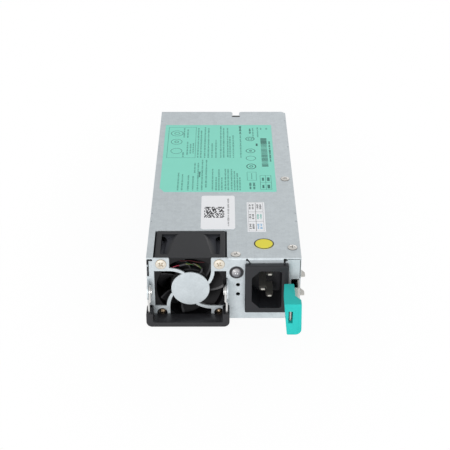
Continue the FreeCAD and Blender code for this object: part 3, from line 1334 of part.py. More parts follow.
def output_capacitors():
    """Row of upright output capacitors near the rear edge."""
    cans = []
    for index in range(OUTPUT_CAN_COUNT):
        start = V(OUTPUT_CANS_X + index * OUTPUT_CAN_PITCH, FRONT_Y + OUTPUT_CANS_Y, BOARD_TOP)
        cans.append(rod(OUTPUT_CAN_RADIUS, start, UP, OUTPUT_CAN_HEIGHT))
    return Part.makeCompound(cans)


def control_card():
    """Upright control board on its header."""
    x, along = CARD_PLACE
    return on_board(x, along, CARD_SIZE, CARD_HEADER)


def card_header():
    """Header strip that carries the control board."""
    x, along = CARD_PLACE
    return on_board(x, along, (2 * CARD_SIZE[0], CARD_HEADER_LENGTH, CARD_HEADER))


def card_chips():
    """Chips on the control board's inner side."""
    x, along = CARD_PLACE
    centre = x - (CARD_SIZE[0] + CHIP_SIZE[0]) / 2
    chips = []
    for index in range(CHIP_COUNT):
        place = along + (index - (CHIP_COUNT - 1) / 2) * CHIP_PITCH
        chips.append(on_board(centre, place, CHIP_SIZE, CARD_HEADER + CHIP_SIZE[2]))
    return Part.makeCompound(chips)


def fan_plug():
    """Plug and header of the fan's leads on the board."""
    return softened(on_board(*PLUG_PLACE, PLUG_SIZE))


def fan_leads():
    """Leads of the fan, bonded side by side in a flat band that bends down to the plug's top."""
    left = FAN_X - LEAD_WIDTH / 2
    plug_y = FRONT_Y + PLUG_PLACE[1]
    plug_top = BOARD_TOP + PLUG_SIZE[2]
    low, high = around(MIDDLE_Z, LEAD_THICK)
    front, rear = around(plug_y, LEAD_THICK)
    outline = [(FAN_REAR, low, 0), (front, low, LEAD_BEND - LEAD_THICK), (front, plug_top, 0),
               (rear, plug_top, 0), (rear, high, LEAD_BEND), (FAN_REAR, high, 0)]
    return side_plate(outline, left, LEAD_WIDTH)


def export_all():
    """Build every piece and write one file for each."""
    choke_core, choke_coils = filter_choke()
    pieces = {
        "top_cover": top_cover(),
        "chassis_tray": chassis_tray(),
        "rear_panel": rear_panel(),
        "fan_divider": fan_divider(),
        "cover_screws": cover_screws(),
        "fan_frame": fan_frame(),
        "fan_screws": fan_screws(),
        "bearing_sleeve": bearing_sleeve(),
        "fan_stator": fan_stator(),
        "fan_coils": fan_coils(),
        "fan_impeller": fan_impeller(),
        "rotor_shaft": rotor_shaft(),
        "magnet_ring": magnet_ring(),
        "inlet_housing": inlet_housing(),
        "inlet_blades": inlet_blades(),
        "lamp_holder": lamp_holder(),
        "status_lamp": status_lamp(),
        "handle_grip": handle_grip(),
        "handle_arm_left": handle_arm(-1),
        "handle_arm_right": handle_arm(1),
        "handle_rivets": handle_rivets(),
        "latch_strip": latch_strip(),
        "latch_tab": latch_tab(),
        "latch_foot": latch_foot(),
        "latch_rivets": latch_rivets(),
        "main_board": main_board(),
        "edge_contacts": edge_contacts(),
        "standoffs": standoffs(),
        "board_screws": board_screws(),
        "insulating_film": insulating_film(),
        "filter_choke_core": choke_core,
        "filter_choke_windings": choke_coils,
        "filter_capacitors": filter_capacitors(),
        "disc_capacitors": disc_capacitors(),
        "fuse_tube": fuse_tube(),
        "fuse_caps": fuse_caps(),
        "inrush_relay": relay(),
        "boost_choke_core": framed_core(BOOST_PLACE, BOOST_SIZE, BOOST_LEG),
        "boost_choke_windings": core_winding(BOOST_PLACE, BOOST_SIZE, BOOST_LEG),
        "bulk_capacitors": bulk_capacitors(),
        "primary_heatsink": heatsink(*PRIMARY_SINK, 1),
        "primary_transistors": Part.makeCompound(power_devices(*PRIMARY_SINK, -1)),
        "output_heatsink": heatsink(*OUTPUT_SINK, 1),
        "output_transistors": Part.makeCompound(power_devices(*OUTPUT_SINK, -1)),
        "transformer_core": framed_core(TRANSFORMER_PLACE, CORE_SIZE, CORE_LEG),
        "transformer_winding": core_winding(TRANSFORMER_PLACE, CORE_SIZE, CORE_LEG),
        "output_inductor": output_inductor(),
        "output_capacitors": output_capacitors(),
        "control_card": control_card(),
        "card_header": card_header(),
        "card_chips": card_chips(),
        "fan_plug": fan_plug(),
        "fan_leads": fan_leads(),
    }
    os.makedirs("parts", exist_ok=True)
    for name, shape in pieces.items():
        shape.exportStep(os.path.join("parts", name + ".step"))


export_all()
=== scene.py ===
"""Looks of a hot swap server power supply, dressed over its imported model.

Places are in metres in the model's frame: X to the right seen from the front, Y to the rear, Z up. A place
on the lid is given in millimetres right of the middle and behind the front face, and a place on the face in
millimetres right of the middle and above the floor.
"""

import math

import bmesh
import bpy
import numpy as np
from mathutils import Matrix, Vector


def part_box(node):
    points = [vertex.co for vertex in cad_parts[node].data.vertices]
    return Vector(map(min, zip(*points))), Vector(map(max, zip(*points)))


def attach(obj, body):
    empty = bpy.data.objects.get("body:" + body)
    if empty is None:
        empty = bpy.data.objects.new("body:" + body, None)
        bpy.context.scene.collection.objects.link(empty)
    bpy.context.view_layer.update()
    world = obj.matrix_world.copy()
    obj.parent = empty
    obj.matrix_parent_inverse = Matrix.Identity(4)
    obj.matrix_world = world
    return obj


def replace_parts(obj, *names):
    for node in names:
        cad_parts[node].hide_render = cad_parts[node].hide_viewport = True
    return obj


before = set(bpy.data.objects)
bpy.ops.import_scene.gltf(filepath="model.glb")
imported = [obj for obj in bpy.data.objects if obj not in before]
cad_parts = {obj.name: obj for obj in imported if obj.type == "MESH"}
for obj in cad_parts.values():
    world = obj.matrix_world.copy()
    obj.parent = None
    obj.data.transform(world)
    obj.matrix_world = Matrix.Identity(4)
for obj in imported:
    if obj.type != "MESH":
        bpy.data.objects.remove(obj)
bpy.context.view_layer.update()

MM = 0.001

# Places taken from the frame
SHEET = 0.8 * MM
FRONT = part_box("chassis_tray")[0].y - SHEET
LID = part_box("top_cover")[1].z
FAN_LOW, FAN_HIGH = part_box("fan_impeller")
FAN_X = (FAN_LOW.x + FAN_HIGH.x) / 2
FAN_Z = (FAN_LOW.z + FAN_HIGH.z) / 2
FAN_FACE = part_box("fan_frame")[0].y
LAMP_LOW, LAMP_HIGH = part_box("status_lamp")
LAMP_X = (LAMP_LOW.x + LAMP_HIGH.x) / 2
LAMP_Z = (LAMP_LOW.z + LAMP_HIGH.z) / 2
INLET_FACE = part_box("inlet_housing")[0].y
PINS_LOW, PINS_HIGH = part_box("inlet_blades")

# Ways in the frame
AHEAD = (0.0, -1.0, 0.0)
BACK = (0.0, 1.0, 0.0)
UP = (0.0, 0.0, 1.0)

# Fan's hub
HUB_RADIUS = 11.2 * MM
HUB_WALL = 1.2 * MM
HUB_CAP = 1.5 * MM
HUB_EDGE = 0.9 * MM
HUB_MIDDLE = 2.0 * MM

# Fan's blades: the wrap is in degrees, and the shares of the thickness are what it is at the root, what it
# loses towards the tip, and what is left of it at a blade's edges
BLADE_COUNT = 7
BLADE_ROOT = 10.7 * MM
BLADE_TIP = 18.35 * MM
BLADE_FRONT = FAN_LOW.y - 0.5 * MM
BLADE_LENGTH = 17.2 * MM
BLADE_THICK = 1.1 * MM
BLADE_CAMBER = 0.16
ROOT_SHARE = 1.15
THINNING_SHARE = 0.4
EDGE_SHARE = 0.12
WRAP_AT_ROOT = 52.0
WRAP_TO_TIP = 14.0
EDGE_AT_TIP = math.radians(101.0)
EDGE_SWEEP = math.radians(15.0)

# Fan's frame: painted shade darkens it within a radius, and painted light makes its pockets lighter than its
# plastic by a factor
DUCT_SHADE_RADIUS = 19.3 * MM
POCKET_PAINTED_LIGHT = 7.0

# Screws: the collar is the share of the head's radius that the crown covers, and a lid screw's place also has
# the turn of its cross in radians
LID_SCREW = {"radius": 2.75 * MM, "collar": 0.92, "rim": 0.3 * MM, "crown": 0.5 * MM, "shank": 1.3 * MM,
             "length": 4.0 * MM}
UPPER_SCREW = {"radius": 3.0 * MM, "collar": 0.86, "rim": 0.45 * MM, "crown": 0.35 * MM, "shank": 1.8 * MM,
               "length": 5.0 * MM}
LOWER_SCREW = {"radius": 1.8 * MM, "collar": 0.95, "rim": 0.3 * MM, "crown": 0.9 * MM, "shank": 1.3 * MM,
               "length": 5.0 * MM}
LID_SCREW_PLACES = ((6.6, 3.6, 0.5), (38.1, 10.7, 0.2), (37.8, 91.5, 0.9))
FAN_SCREW_HALF_PITCH = 16.0 * MM
LOWER_SCREW_SEAT = FRONT + SHEET + 0.4 * MM

# A screw's head, in shares of its radius: its first ring, its cross, and where the recess's painted shade
# starts
HEAD_MIDDLE = 0.05
CROSS_HALF_WIDTH = 0.10
CROSS_REACH = 0.50
RECESS_FROM = 0.19

# A screw's head, in height: the cross's depth as a share of the head's, the edge's drop as a share of the
# rim's, and how far into the cross, from 0 to 1, the recess's painted shade starts
CROSS_DEPTH = 0.6
EDGE_DROP = 0.12
RECESS_DEEP = 0.4

# Lens, rounded edges, and the inlet's pins: a pin's place on the face and its tip behind the inlet's face
LENS_DOME = 1.3 * MM
TAB_EDGE = 0.7 * MM
GRIP_EDGE = 0.45 * MM
INLET_EDGE = 0.3 * MM
INLET_PINS = ((25.5, 28.3, 4.8), (25.5, 14.3, 4.8), (21.6, 21.3, 0.8))
PIN_HALF_WIDTH = 2.0
PIN_HALF_THICK = 1.0
PIN_NOSE = 1.8 * MM
TAIL_THICK = 1.0 * MM
SQUARE_NOSE = 0.0001 * MM

# Dark gaps as painted shade: the lid's as centre, width and length, the face's as centre, width and height
NOTCH_GAP = (8.5, 182.3, 5.4, 1.4)
FACE_GAPS = ((-40.7, 38.4, 3.0, 0.8), (-42.0, 36.8, 0.7, 2.4), (-41.8, 31.3, 0.8, 6.0),
             (42.0, 32.7, 0.4, 11.6), (33.8, 38.45, 2.2, 0.6), (33.3, 37.5, 0.9, 1.3), (12.6, 38.4, 1.0, 0.7))

# Fan's wires: places on the face along the twisted run and the upper wire, the twist in radians over the run,
# and, as shares of the run, where the red wire goes on in painted shade, and the sleeves, of which the last
# is painted shade over the wires' tail
TWISTED_ROUTE = ((-32.4, 32.9), (-31.4, 32.6), (-27.5, 33.2), (-23.7, 34.3), (-20.4, 35.2), (-17.0, 35.0),
                 (-14.2, 34.0), (-12.4, 32.5), (-12.3, 30.4), (-14.2, 28.3), (-17.0, 27.2))
UPPER_ROUTE = ((-24.6, 37.6), (-22.6, 37.1), (-18.5, 37.3), (-14.6, 36.4), (-10.6, 36.2))
WIRE_DEPTH = FRONT + 1.6 * MM
WIRE_RADIUS = 0.2 * MM
UPPER_WIRE_RADIUS = 0.24 * MM
SLEEVE_RADIUS = 0.62 * MM
WIRE_TWIST = 30.0
RED_SHADE_START = 0.36
SLEEVES_AND_SHADE = ((0.275, 0.385), (0.71, 2.0))

# Pressed mark on the face
MARK_PLACE = (4.4 * MM, 22.6 * MM)
MARK_RADIUS = 1.25 * MM
MARK_ROD_RADIUS = 0.13 * MM

# Labels on the lid: spans across and behind, corners' radii, the white label's patch and column of print, the
# check label's lines, frame and cells with the colour of their strokes, and the yellow dot
LABEL_THICK = 0.1 * MM
LABEL_TOP = LID + LABEL_THICK
INK_THICK = 0.012 * MM
RATING_LABEL = ((-38.8, 32.0), (75.0, 168.6))
WHITE_LABEL = ((-13.2, 6.6), (30.9, 70.1))
WHITE_CORNER = 1.6 * MM
WHITE_PATCH = ((-11.3, 0.3), (43.8, 56.5))
WHITE_PATCH_CELLS = (22, 12)
WHITE_COLUMN = (2.7, 34.0, 66.4)
CHECK_LABEL = ((13.6, 24.0), (27.8, 62.1))
CHECK_CORNER = 0.3 * MM
CHECK_LINES = ((18.65, 45.0, 0.22, 32.6), (18.7, 50.5, 8.6, 0.22), (18.7, 39.5, 8.6, 0.22))
CHECK_FRAME = ((14.4, 23.0), (28.6, 61.3))
CHECK_CELLS = ((16.2, 56.5, "black"), (20.7, 56.5, "black"), (16.2, 45.0, "black"),
               (20.7, 45.0, "green"), (16.2, 33.8, "black"), (20.7, 33.8, "blue"))
DOT_PLACE = (22.4, 14.8)
DOT_RADIUS = 5.6 * MM
DOT_INNER_RADIUS = 4.9 * MM

# Small print as dashes: its height in millimetres, and other measures in heights of the print
TEXT_HEIGHT = 1.15
DASH_GROUP = (1.2, 5.0)
DASH_PITCH = 0.62
DASH_WIDTH = (0.5, 0.95)
GROUP_GAP = 0.5

# Print of the rating label: columns as place across, start, end and, for bold ones, height; strokes as
# centre, width and length; rings as centre, half sizes and width of the line
RATING_COLUMNS = (
    (-16.5, 120, 164), (-14.6, 120, 160), (-12.1, 120, 165), (-9.8, 120, 164), (-7.4, 120, 141),
    (-4.9, 120, 146), (-1.8, 120, 166.6), (0.1, 120, 164), (2.7, 120, 164), (4.2, 120, 151),
    (6.3, 120, 152.7), (11.1, 120, 153), (-26.0, 149, 163.6), (-23.6, 149, 162), (-26.0, 121, 128),
    (-23.4, 124, 143), (-21.4, 126, 140), (-19.6, 126, 141), (-27.9, 76.7, 99.6), (-25.4, 76.7, 97.7),
    (-21.7, 76.7, 96.4), (-18.8, 76.7, 95.2), (-18.0, 99, 113), (-15.9, 76.7, 113.2), (-13.3, 76.7, 117.2),
    (-10.8, 80, 117.2), (-6.8, 76.7, 104.8), (-4.6, 76.7, 94), (-2.9, 76.7, 104.2), (-1.1, 76.7, 93.3),
    (1.1, 76.7, 104.8), (2.8, 76.7, 104.8), (4.9, 76.7, 104.8), (6.7, 76.7, 101.6), (8.4, 76.7, 99.1),
    (10.0, 76.7, 93.4), (19.5, 148, 164), (22.6, 150, 165), (24.9, 161, 164), (28.6, 161, 164))
RATING_BOLD_COLUMNS = (
    (11.1, 153.7, 166.7, 1.7), (29.8, 114.7, 143.5, 1.4), (16.3, 78.0, 86.5, 1.6), (18.6, 78.0, 86.5, 1.6),
    (17.5, 155.0, 163.0, 1.5), (-14.9, 93.5, 101.0, 1.5))
RATING_FRAMES = (((-36.3, -18.2), (120.2, 165.0)), ((22.5, 29.2), (77.8, 95.9)),
                 ((14.6, 20.2), (89.6, 100.4)))
RATING_STROKES = (
    (25.85, 86.85, 0.22, 18.1), (25.85, 86.85, 6.7, 0.22), (17.4, 95.0, 0.3, 8.0), (24.2, 81.5, 1.2, 4.0),
    (27.5, 81.5, 1.6, 4.6), (24.2, 91.0, 1.2, 4.0), (27.5, 91.0, 1.6, 4.6))
RATING_BLOT = (21.6, 138.6, 1.2, 3.6)
RATING_RINGS = (
    (17.4, 147.3, 3.0, 3.0, 0.5), (17.4, 129.8, 3.1, 3.0, 0.45), (17.4, 119.3, 3.2, 3.2, 0.3),
    (17.4, 108.1, 3.1, 3.6, 0.6), (17.4, 147.3, 1.5, 1.6, 0.4), (17.4, 129.8, 0.9, 1.1, 0.5),
    (17.4, 108.1, 1.2, 1.4, 0.5), (-30.7, 155.7, 4.1, 4.1, 0.35), (-30.7, 143.1, 3.7, 3.9, 0.3),
    (-30.4, 129.8, 3.7, 3.9, 0.3), (-30.7, 155.7, 1.8, 1.8, 0.3), (-30.7, 143.1, 1.4, 1.5, 0.4))
BAR_ROW = (107.9, 148.4)
BAR_ROW_PLACE = 26.2
BAR_LENGTH = 4.0 * MM
FINE_BARS = (110.5, 140.0)

# Camera, fitted to the photograph
CAMERA_PLACE = (-0.45 * MM, -618.78 * MM, 368.28 * MM)
CAMERA_TARGET = (0.81 * MM, -25.38 * MM, 20.0 * MM)
FOCAL_PIXELS = 1131.67
PHOTO_PIXELS = 450
SENSOR = 36.0

# Stage: the floor's glow is its share of white light near the object, and the shadow's reach is in metres
# across, with the squares of distances along Y counted less; each lamp has a place, size and power in watts
FLOOR_SIZE = 6.0
FLOOR_WHITE = 0.93
FLOOR_GLOW = 0.93
SHADOW_REACH = (0.05, 0.14)
SHADOW_ALONG = 0.3
WORLD_DIFFUSE = 0.70
WORLD_MIRRORED = 0.705
WORLD_WHITE = 1.0
LAMP_TARGET = (0.0, 0.0, 0.02)
LAMPS = {"key_lamp": ((-0.6, -1.6, 0.34), 0.9, 12.5),
         "fill_lamp": ((0.8, -1.4, 0.32), 0.9, 6.0),
         "rear_lamp": ((0.4, 1.6, 0.35), 1.0, 2.5)}


class Link:
    """Output socket of a node; arithmetic on it, from either side, adds Math nodes."""

    def __init__(self, paint, socket):
        self.paint = paint
        self.socket = socket

    def __add__(self, other):
        return self.paint.maths("ADD", self, other)

    __radd__ = __add__

    def __mul__(self, other):
        return self.paint.maths("MULTIPLY", self, other)

    __rmul__ = __mul__

    def __sub__(self, other):
        return self.paint.maths("SUBTRACT", self, other)

    def __rsub__(self, other):
        return self.paint.maths("SUBTRACT", other, self)

    def __gt__(self, other):
        return self.paint.maths("GREATER_THAN", self, other)

    def __lt__(self, other):
        return self.paint.maths("LESS_THAN", self, other)

    def __pow__(self, other):
        return self.paint.maths("POWER", self, other)

    def __rpow__(self, other):
        return self.paint.maths("POWER", other, self)


class Paint:
    """One procedural material or world: its shader and the nodes that feed it."""

    def __init__(self, name, world=False):
        self.material = (bpy.data.worlds if world else bpy.data.materials).new(name)
        self.material.use_nodes = True
        self.tree = self.material.node_tree
        self.shader = self.tree.nodes["Background" if world else "Principled BSDF"]

    def feed(self, socket, value):
        if isinstance(value, Link):
            self.tree.links.new(value.socket, socket)
        elif isinstance(value, (tuple, list)) and len(value) == 3 and socket.type == "RGBA":
            socket.default_value = (*value, 1.0)
        else:
            socket.default_value = value

    def node(self, kind, settings, sockets, output=0):
        """Output of a new node, whose settings are set before its sockets."""
        made = self.tree.nodes.new(kind)
        for key, value in settings.items():
            if key == "stops":
                ramp = made.color_ramp
                while len(ramp.elements) < len(value):
                    ramp.elements.new(1.0)
                for element, (place, colour) in zip(ramp.elements, value):
                    element.position = place
                    element.color = (*colour, 1.0)
            else:
                setattr(made, key, value)
        for key, value in sockets.items():
            self.feed(made.inputs[key], value)
        return Link(self, made.outputs[output])

    def maths(self, operation, first, second):
        return self.node("ShaderNodeMath", {"operation": operation}, {0: first, 1: second})

    def where(self):
        return self.node("ShaderNodeTexCoord", {}, {}, "Object")

    def ray(self, kind):
        """1 for the rays of a kind, such as Is Camera Ray."""
        return self.node("ShaderNodeLightPath", {}, {}, kind)

    def parts(self, vector):
        """The three parts of a vector as numbers."""
        return [self.node("ShaderNodeSeparateXYZ", {}, {0: vector}, part) for part in range(3)]

    def stretched(self, vector, scale):
        return self.node("ShaderNodeMapping", {}, {"Vector": vector, "Scale": scale})

    def noise(self, vector, scale, detail=2.0, rough=0.5):
        return self.node("ShaderNodeTexNoise", {}, {"Vector": vector, "Scale": scale, "Detail": detail,
                                                    "Roughness": rough})

    def cells(self, vector, scale, output="Color"):
        return self.node("ShaderNodeTexVoronoi", {}, {"Vector": vector, "Scale": scale}, output)

    def ramp(self, value, stops):
        return self.node("ShaderNodeValToRGB", {"stops": stops}, {"Fac": value})

    def mix(self, share, first, second):
        return self.node("ShaderNodeMix", {"data_type": "RGBA"}, {0: share, 6: first, 7: second}, 2)

    def span(self, value, low, high, start=0.0, end=1.0):
        """Value from start to end turned into low to high, and held at both ends."""
        return self.node("ShaderNodeMapRange", {}, {"Value": value, "From Min": start, "From Max": end,
                                                    "To Min": low, "To Max": high})

    def bump(self, height, strength, distance):
        made = self.node("ShaderNodeBump", {}, {"Height": height, "Strength": strength, "Distance": distance})
        self.feed(self.shader.inputs["Normal"], made)

    def set(self, **sockets):
        """Feed the shader's sockets, named with _ for a space, and give its material or world."""
        for key, value in sockets.items():
            self.feed(self.shader.inputs[key.replace("_", " ")], value)
        return self.material


def scaled(colour, factor, lift=0.0):
    """Colour times a factor plus a lift, held under 1."""
    return tuple(min(1.0, part * factor + lift) for part in colour)


def away_from(across, up):
    """Distance from the point where both numbers are 0."""
    return (across * across + up * up) ** 0.5


def rolled_steel(name, dark, light, metal):
    """Zinc-coated sheet: a cloudy grey with faint crystals, fine rolling lines, specks and a satin gloss."""
    paint = Paint(name)
    where = paint.where()
    clouds = paint.noise(where, scale=70.0, detail=4.0, rough=0.6)
    lines = paint.noise(paint.stretched(where, (9.0, 0.25, 9.0)), scale=240.0, detail=3.0, rough=0.6)
    crystals = paint.parts(paint.cells(where, scale=420.0))[0]
    specks = paint.noise(where, scale=1100.0, detail=1.0)
    tone = clouds * 0.26 + lines * 0.26 + crystals * 0.16 + specks * 0.32
    colour = paint.ramp(tone, stops=((0.34, dark), (0.64, light)))
    paint.bump(lines * 0.4 + specks * 0.6, strength=0.3, distance=0.00004)
    return paint.set(Base_Color=colour, Metallic=metal, Roughness=paint.span(tone, low=0.42, high=0.56))


def bright_metal(name, colour, rough, grain=(1.0, 1.0, 1.0), metal=1.0):
    """Machined or plated metal with a light grain, drawn out where a part of grain is small."""
    paint = Paint(name)
    grainy = paint.noise(paint.stretched(paint.where(), grain), scale=900.0, detail=3.0, rough=0.6)
    paint.bump(grainy, strength=0.15, distance=0.00003)
    return paint.set(Base_Color=paint.mix(grainy, scaled(colour, 0.8), colour), Metallic=metal,
                     Roughness=paint.span(grainy, low=rough * 0.8, high=rough * 1.25))


def moulded_plastic(name, colour, rough, gloss=0.35, texture=1400.0, strength=0.35):
    """Moulded plastic: an even colour with a fine spark-eroded texture."""
    paint = Paint(name)
    where = paint.where()
    fine = paint.noise(where, texture, rough=0.6)
    wide = paint.noise(where, scale=90.0)
    paint.bump(fine, strength, distance=0.00003)
    shade = paint.mix(wide, colour, scaled(colour, 1.16, 0.002))
    return paint.set(Base_Color=shade, Specular_IOR_Level=gloss,
                     Roughness=paint.span(fine, low=rough * 0.88, high=rough * 1.1))


def fan_frame_painted_shade_and_light(name, colour, inner, rough, gloss):
    """Moulded plastic of the fan's housing: painted shade darkens it in its round duct and on the face behind
    the guard, and painted light makes the walls of the pockets at its upper corners paler.
    """
    paint = Paint(name)
    where = paint.where()
    fine = paint.noise(where, scale=1100.0, rough=0.6)
    wide = paint.noise(where, scale=80.0, detail=3.0)
    x, y, z = paint.parts(where)
    soft = 0.1 * MM
    # Painted shade: the inner colour goes in the round duct and on the face behind the guard
    duct = paint.span(away_from(x - FAN_X, z - FAN_Z), low=1.0, high=0.0, start=DUCT_SHADE_RADIUS - soft,
                      end=DUCT_SHADE_RADIUS + soft)
    mouth_shade = (y < FAN_FACE + 0.2 * MM) * (z < LID - 0.6 * MM)
    # Painted light: the walls of the upper pockets turn paler by a factor
    pocket_painted_light = paint.span(z, low=0.0, high=1.0, start=LID - 1.0 * MM, end=LID - 4.0 * MM) * (z > FAN_Z)
    outer = paint.mix(wide, colour, scaled(colour, 1.16, 0.002))
    outer = paint.mix(pocket_painted_light, outer, scaled(colour, POCKET_PAINTED_LIGHT))
    paint.bump(fine, strength=0.3, distance=0.00003)
    return paint.set(Base_Color=paint.mix(paint.maths("MAXIMUM", duct, mouth_shade), outer, inner),
                     Specular_IOR_Level=gloss, Roughness=paint.span(fine, low=rough * 0.88, high=rough * 1.1))


def printed_sheet(name, colour):
    """Printed film of a label: nearly even, with a slight mottling."""
    paint = Paint(name)
    where = paint.where()
    mottle = paint.noise(where, scale=120.0, detail=3.0)
    paint.bump(paint.noise(where, scale=500.0), strength=0.1, distance=0.00004)
    shade = paint.mix(mottle, scaled(colour, 0.97), scaled(colour, 1.03))
    return paint.set(Base_Color=shade, Roughness=0.5, Specular_IOR_Level=0.25)


def ink(name, colour):
    """Printed ink with an uneven cover."""
    paint = Paint(name)
    cover = paint.noise(paint.where(), scale=2500.0, detail=1.0)
    return paint.set(Base_Color=paint.mix(cover, colour, scaled(colour, 1.1, 0.03)), Roughness=0.5,
                     Specular_IOR_Level=0.25)


def lamp_glass(name):
    """Domed lens: painted reflection, pale at upper left, dark below, and room lights as painted highlight
    spots.
    """
    paint = Paint(name)
    x, y, z = paint.parts(paint.where())
    across = (x - LAMP_X) * (1 / MM)
    high = (z - LAMP_Z) * (1 / MM)
    # Painted reflection: the colour runs from dark below to pale at the upper left
    tone = paint.span(high - across * 0.6, low=0.0, high=1.0, start=-2.4, end=3.0)
    colour = paint.ramp(tone, stops=((0.0, (0.10, 0.10, 0.115)), (0.45, (0.22, 0.215, 0.235)),
                                     (1.0, (0.50, 0.49, 0.50))))
    # Painted highlights: three small pale spots where the room's lights would be mirrored
    painted_highlights = 0.0
    for side, level, size in ((-0.52, 0.30, 0.30), (0.52, 0.22, 0.30), (-1.45, 1.75, 0.34)):
        away = away_from(across - side, high - level)
        painted_highlights = paint.span(away, low=1.0, high=0.0, start=size * 0.6, end=size * 1.3) + painted_highlights
    bright = paint.mix(paint.span(painted_highlights, low=0.0, high=1.0), colour, (0.95, 0.95, 0.95))
    return paint.set(Base_Color=bright, Roughness=0.16, Coat_Weight=0.6, Coat_Roughness=0.08)


def board_green(name):
    """Solder mask over copper tracks: green with paler straight tracks and tiny round pads."""
    paint = Paint(name)
    where = paint.where()
    tracks = paint.cells(paint.stretched(where, (1.0, 0.2, 1.0)), scale=420.0, output="Distance")
    pads = paint.cells(where, scale=260.0, output="Distance") < 0.12
    tone = paint.span(tracks, low=0.0, high=1.0, start=0.1, end=0.5)
    green = paint.mix(tone, (0.035, 0.21, 0.075), (0.012, 0.10, 0.04))
    return paint.set(Base_Color=paint.mix(pads, green, (0.72, 0.70, 0.62)), Roughness=0.35)


def wound_copper(name, colour, turns):
    """Enamelled wire laid side by side: fine grooves run across the winding, darkened as painted shade."""
    paint = Paint(name)
    wave = paint.node("ShaderNodeTexWave", {"bands_direction": "DIAGONAL"},
                      {"Vector": paint.where(), "Scale": turns}, "Fac")
    paint.bump(wave, strength=0.7, distance=0.0002)
    return paint.set(Base_Color=paint.mix(wave, scaled(colour, 0.55), colour), Metallic=0.75, Roughness=0.35)


# Materials
ALONG_Y = (1.0, 0.1, 1.0)
ALONG_Z = (1.0, 1.0, 0.1)
GALVANISED = rolled_steel("zinc_sheet", (0.525, 0.573, 0.60), (0.62, 0.673, 0.70), metal=0.58)
SPRING = bright_metal("plated_spring_steel", (0.66, 0.64, 0.60), 0.40, ALONG_Y, metal=0.8)
BLADE_METAL = bright_metal("plated_blade", (0.62, 0.60, 0.55), 0.30, ALONG_Y, metal=0.88)
BRIGHT = bright_metal("bright_steel", (0.76, 0.76, 0.75), 0.32, ALONG_Z)
SILVER_SCREW = bright_metal("zinc_screw", (0.80, 0.785, 0.75), 0.36, metal=0.7)
CREAM_SCREW = bright_metal("nickel_screw", (0.80, 0.74, 0.64), 0.42, metal=0.7)
DARK_SCREW = bright_metal("dark_brass_screw", (0.27, 0.20, 0.13), 0.3)
# Darker metals of the screws: painted shade in the crosses and round the heads' edges
SILVER_RECESS_SHADE = bright_metal("zinc_screw_painted_shade", (0.28, 0.27, 0.25), 0.5, metal=0.6)
CREAM_RECESS_SHADE = bright_metal("nickel_screw_painted_shade", (0.50, 0.42, 0.31), 0.5, metal=0.5)
DARK_RECESS_SHADE = bright_metal("dark_brass_screw_painted_shade", (0.05, 0.04, 0.03), 0.5, metal=0.5)
BLACK = moulded_plastic("black_plastic", (0.028, 0.028, 0.031), 0.5)
# Fan frame: its second colour is painted shade, for its duct and the face behind the guard
FAN_FRAME = fan_frame_painted_shade_and_light("fan_frame_painted_shade_and_light", (0.017, 0.018, 0.021), (0.005, 0.005, 0.006), 0.45, 0.25)
ROTOR = moulded_plastic("rotor_plastic", (0.013, 0.013, 0.014), 0.5, 0.15, 900.0)
# Painted highlight: a lighter plastic along the blades' leading edges
ROTOR_EDGE_HIGHLIGHT = moulded_plastic("rotor_blade_edge_painted_highlight", (0.035, 0.035, 0.038), 0.4, 0.4, 900.0)
GRIP = moulded_plastic("grip_plastic", (0.018, 0.018, 0.0205), 0.40)
INLET = moulded_plastic("inlet_plastic", (0.016, 0.016, 0.019), 0.42)
TEAL = moulded_plastic("teal_plastic", (0.020, 0.45, 0.42), 0.5, 0.18, 700.0, 0.2)
LENS = lamp_glass("lamp_lens")
MINT = printed_sheet("mint_film", (0.265, 0.79, 0.64))
PAPER = printed_sheet("white_film", (0.93, 0.945, 0.97))
YELLOW = printed_sheet("yellow_film", (0.84, 0.75, 0.065))
TEAL_INK = ink("teal_ink", (0.03, 0.18, 0.145))
DARK_INK = ink("dark_teal_ink", (0.02, 0.12, 0.10))
BLACK_INK = ink("black_ink", (0.02, 0.02, 0.025))
# Painted shade: near-black stripes in the gaps
GAP_SHADE_BLACK = ink("gap_painted_shade", (0.003, 0.003, 0.004))
GREEN_INK = ink("green_ink", (0.10, 0.45, 0.38))
BLUE_INK = ink("blue_ink", (0.10, 0.38, 0.66))
RED_WIRE = moulded_plastic("red_insulation", (0.33, 0.015, 0.045), 0.4)
# Painted shade: a darker copy of the red wire, and darkened green, yellow and white wires, for where they lie
# behind the guard
SHADED_RED_WIRE = moulded_plastic("red_insulation_painted_shade", (0.04, 0.005, 0.007), 0.5, 0.15)
GREEN_WIRE = moulded_plastic("green_insulation_painted_shade", (0.015, 0.085, 0.03), 0.5, 0.15)
YELLOW_WIRE = moulded_plastic("yellow_insulation_painted_shade", (0.10, 0.10, 0.02), 0.5, 0.15)
WHITE_WIRE = moulded_plastic("white_insulation_painted_shade", (0.12, 0.13, 0.105), 0.5, 0.15)

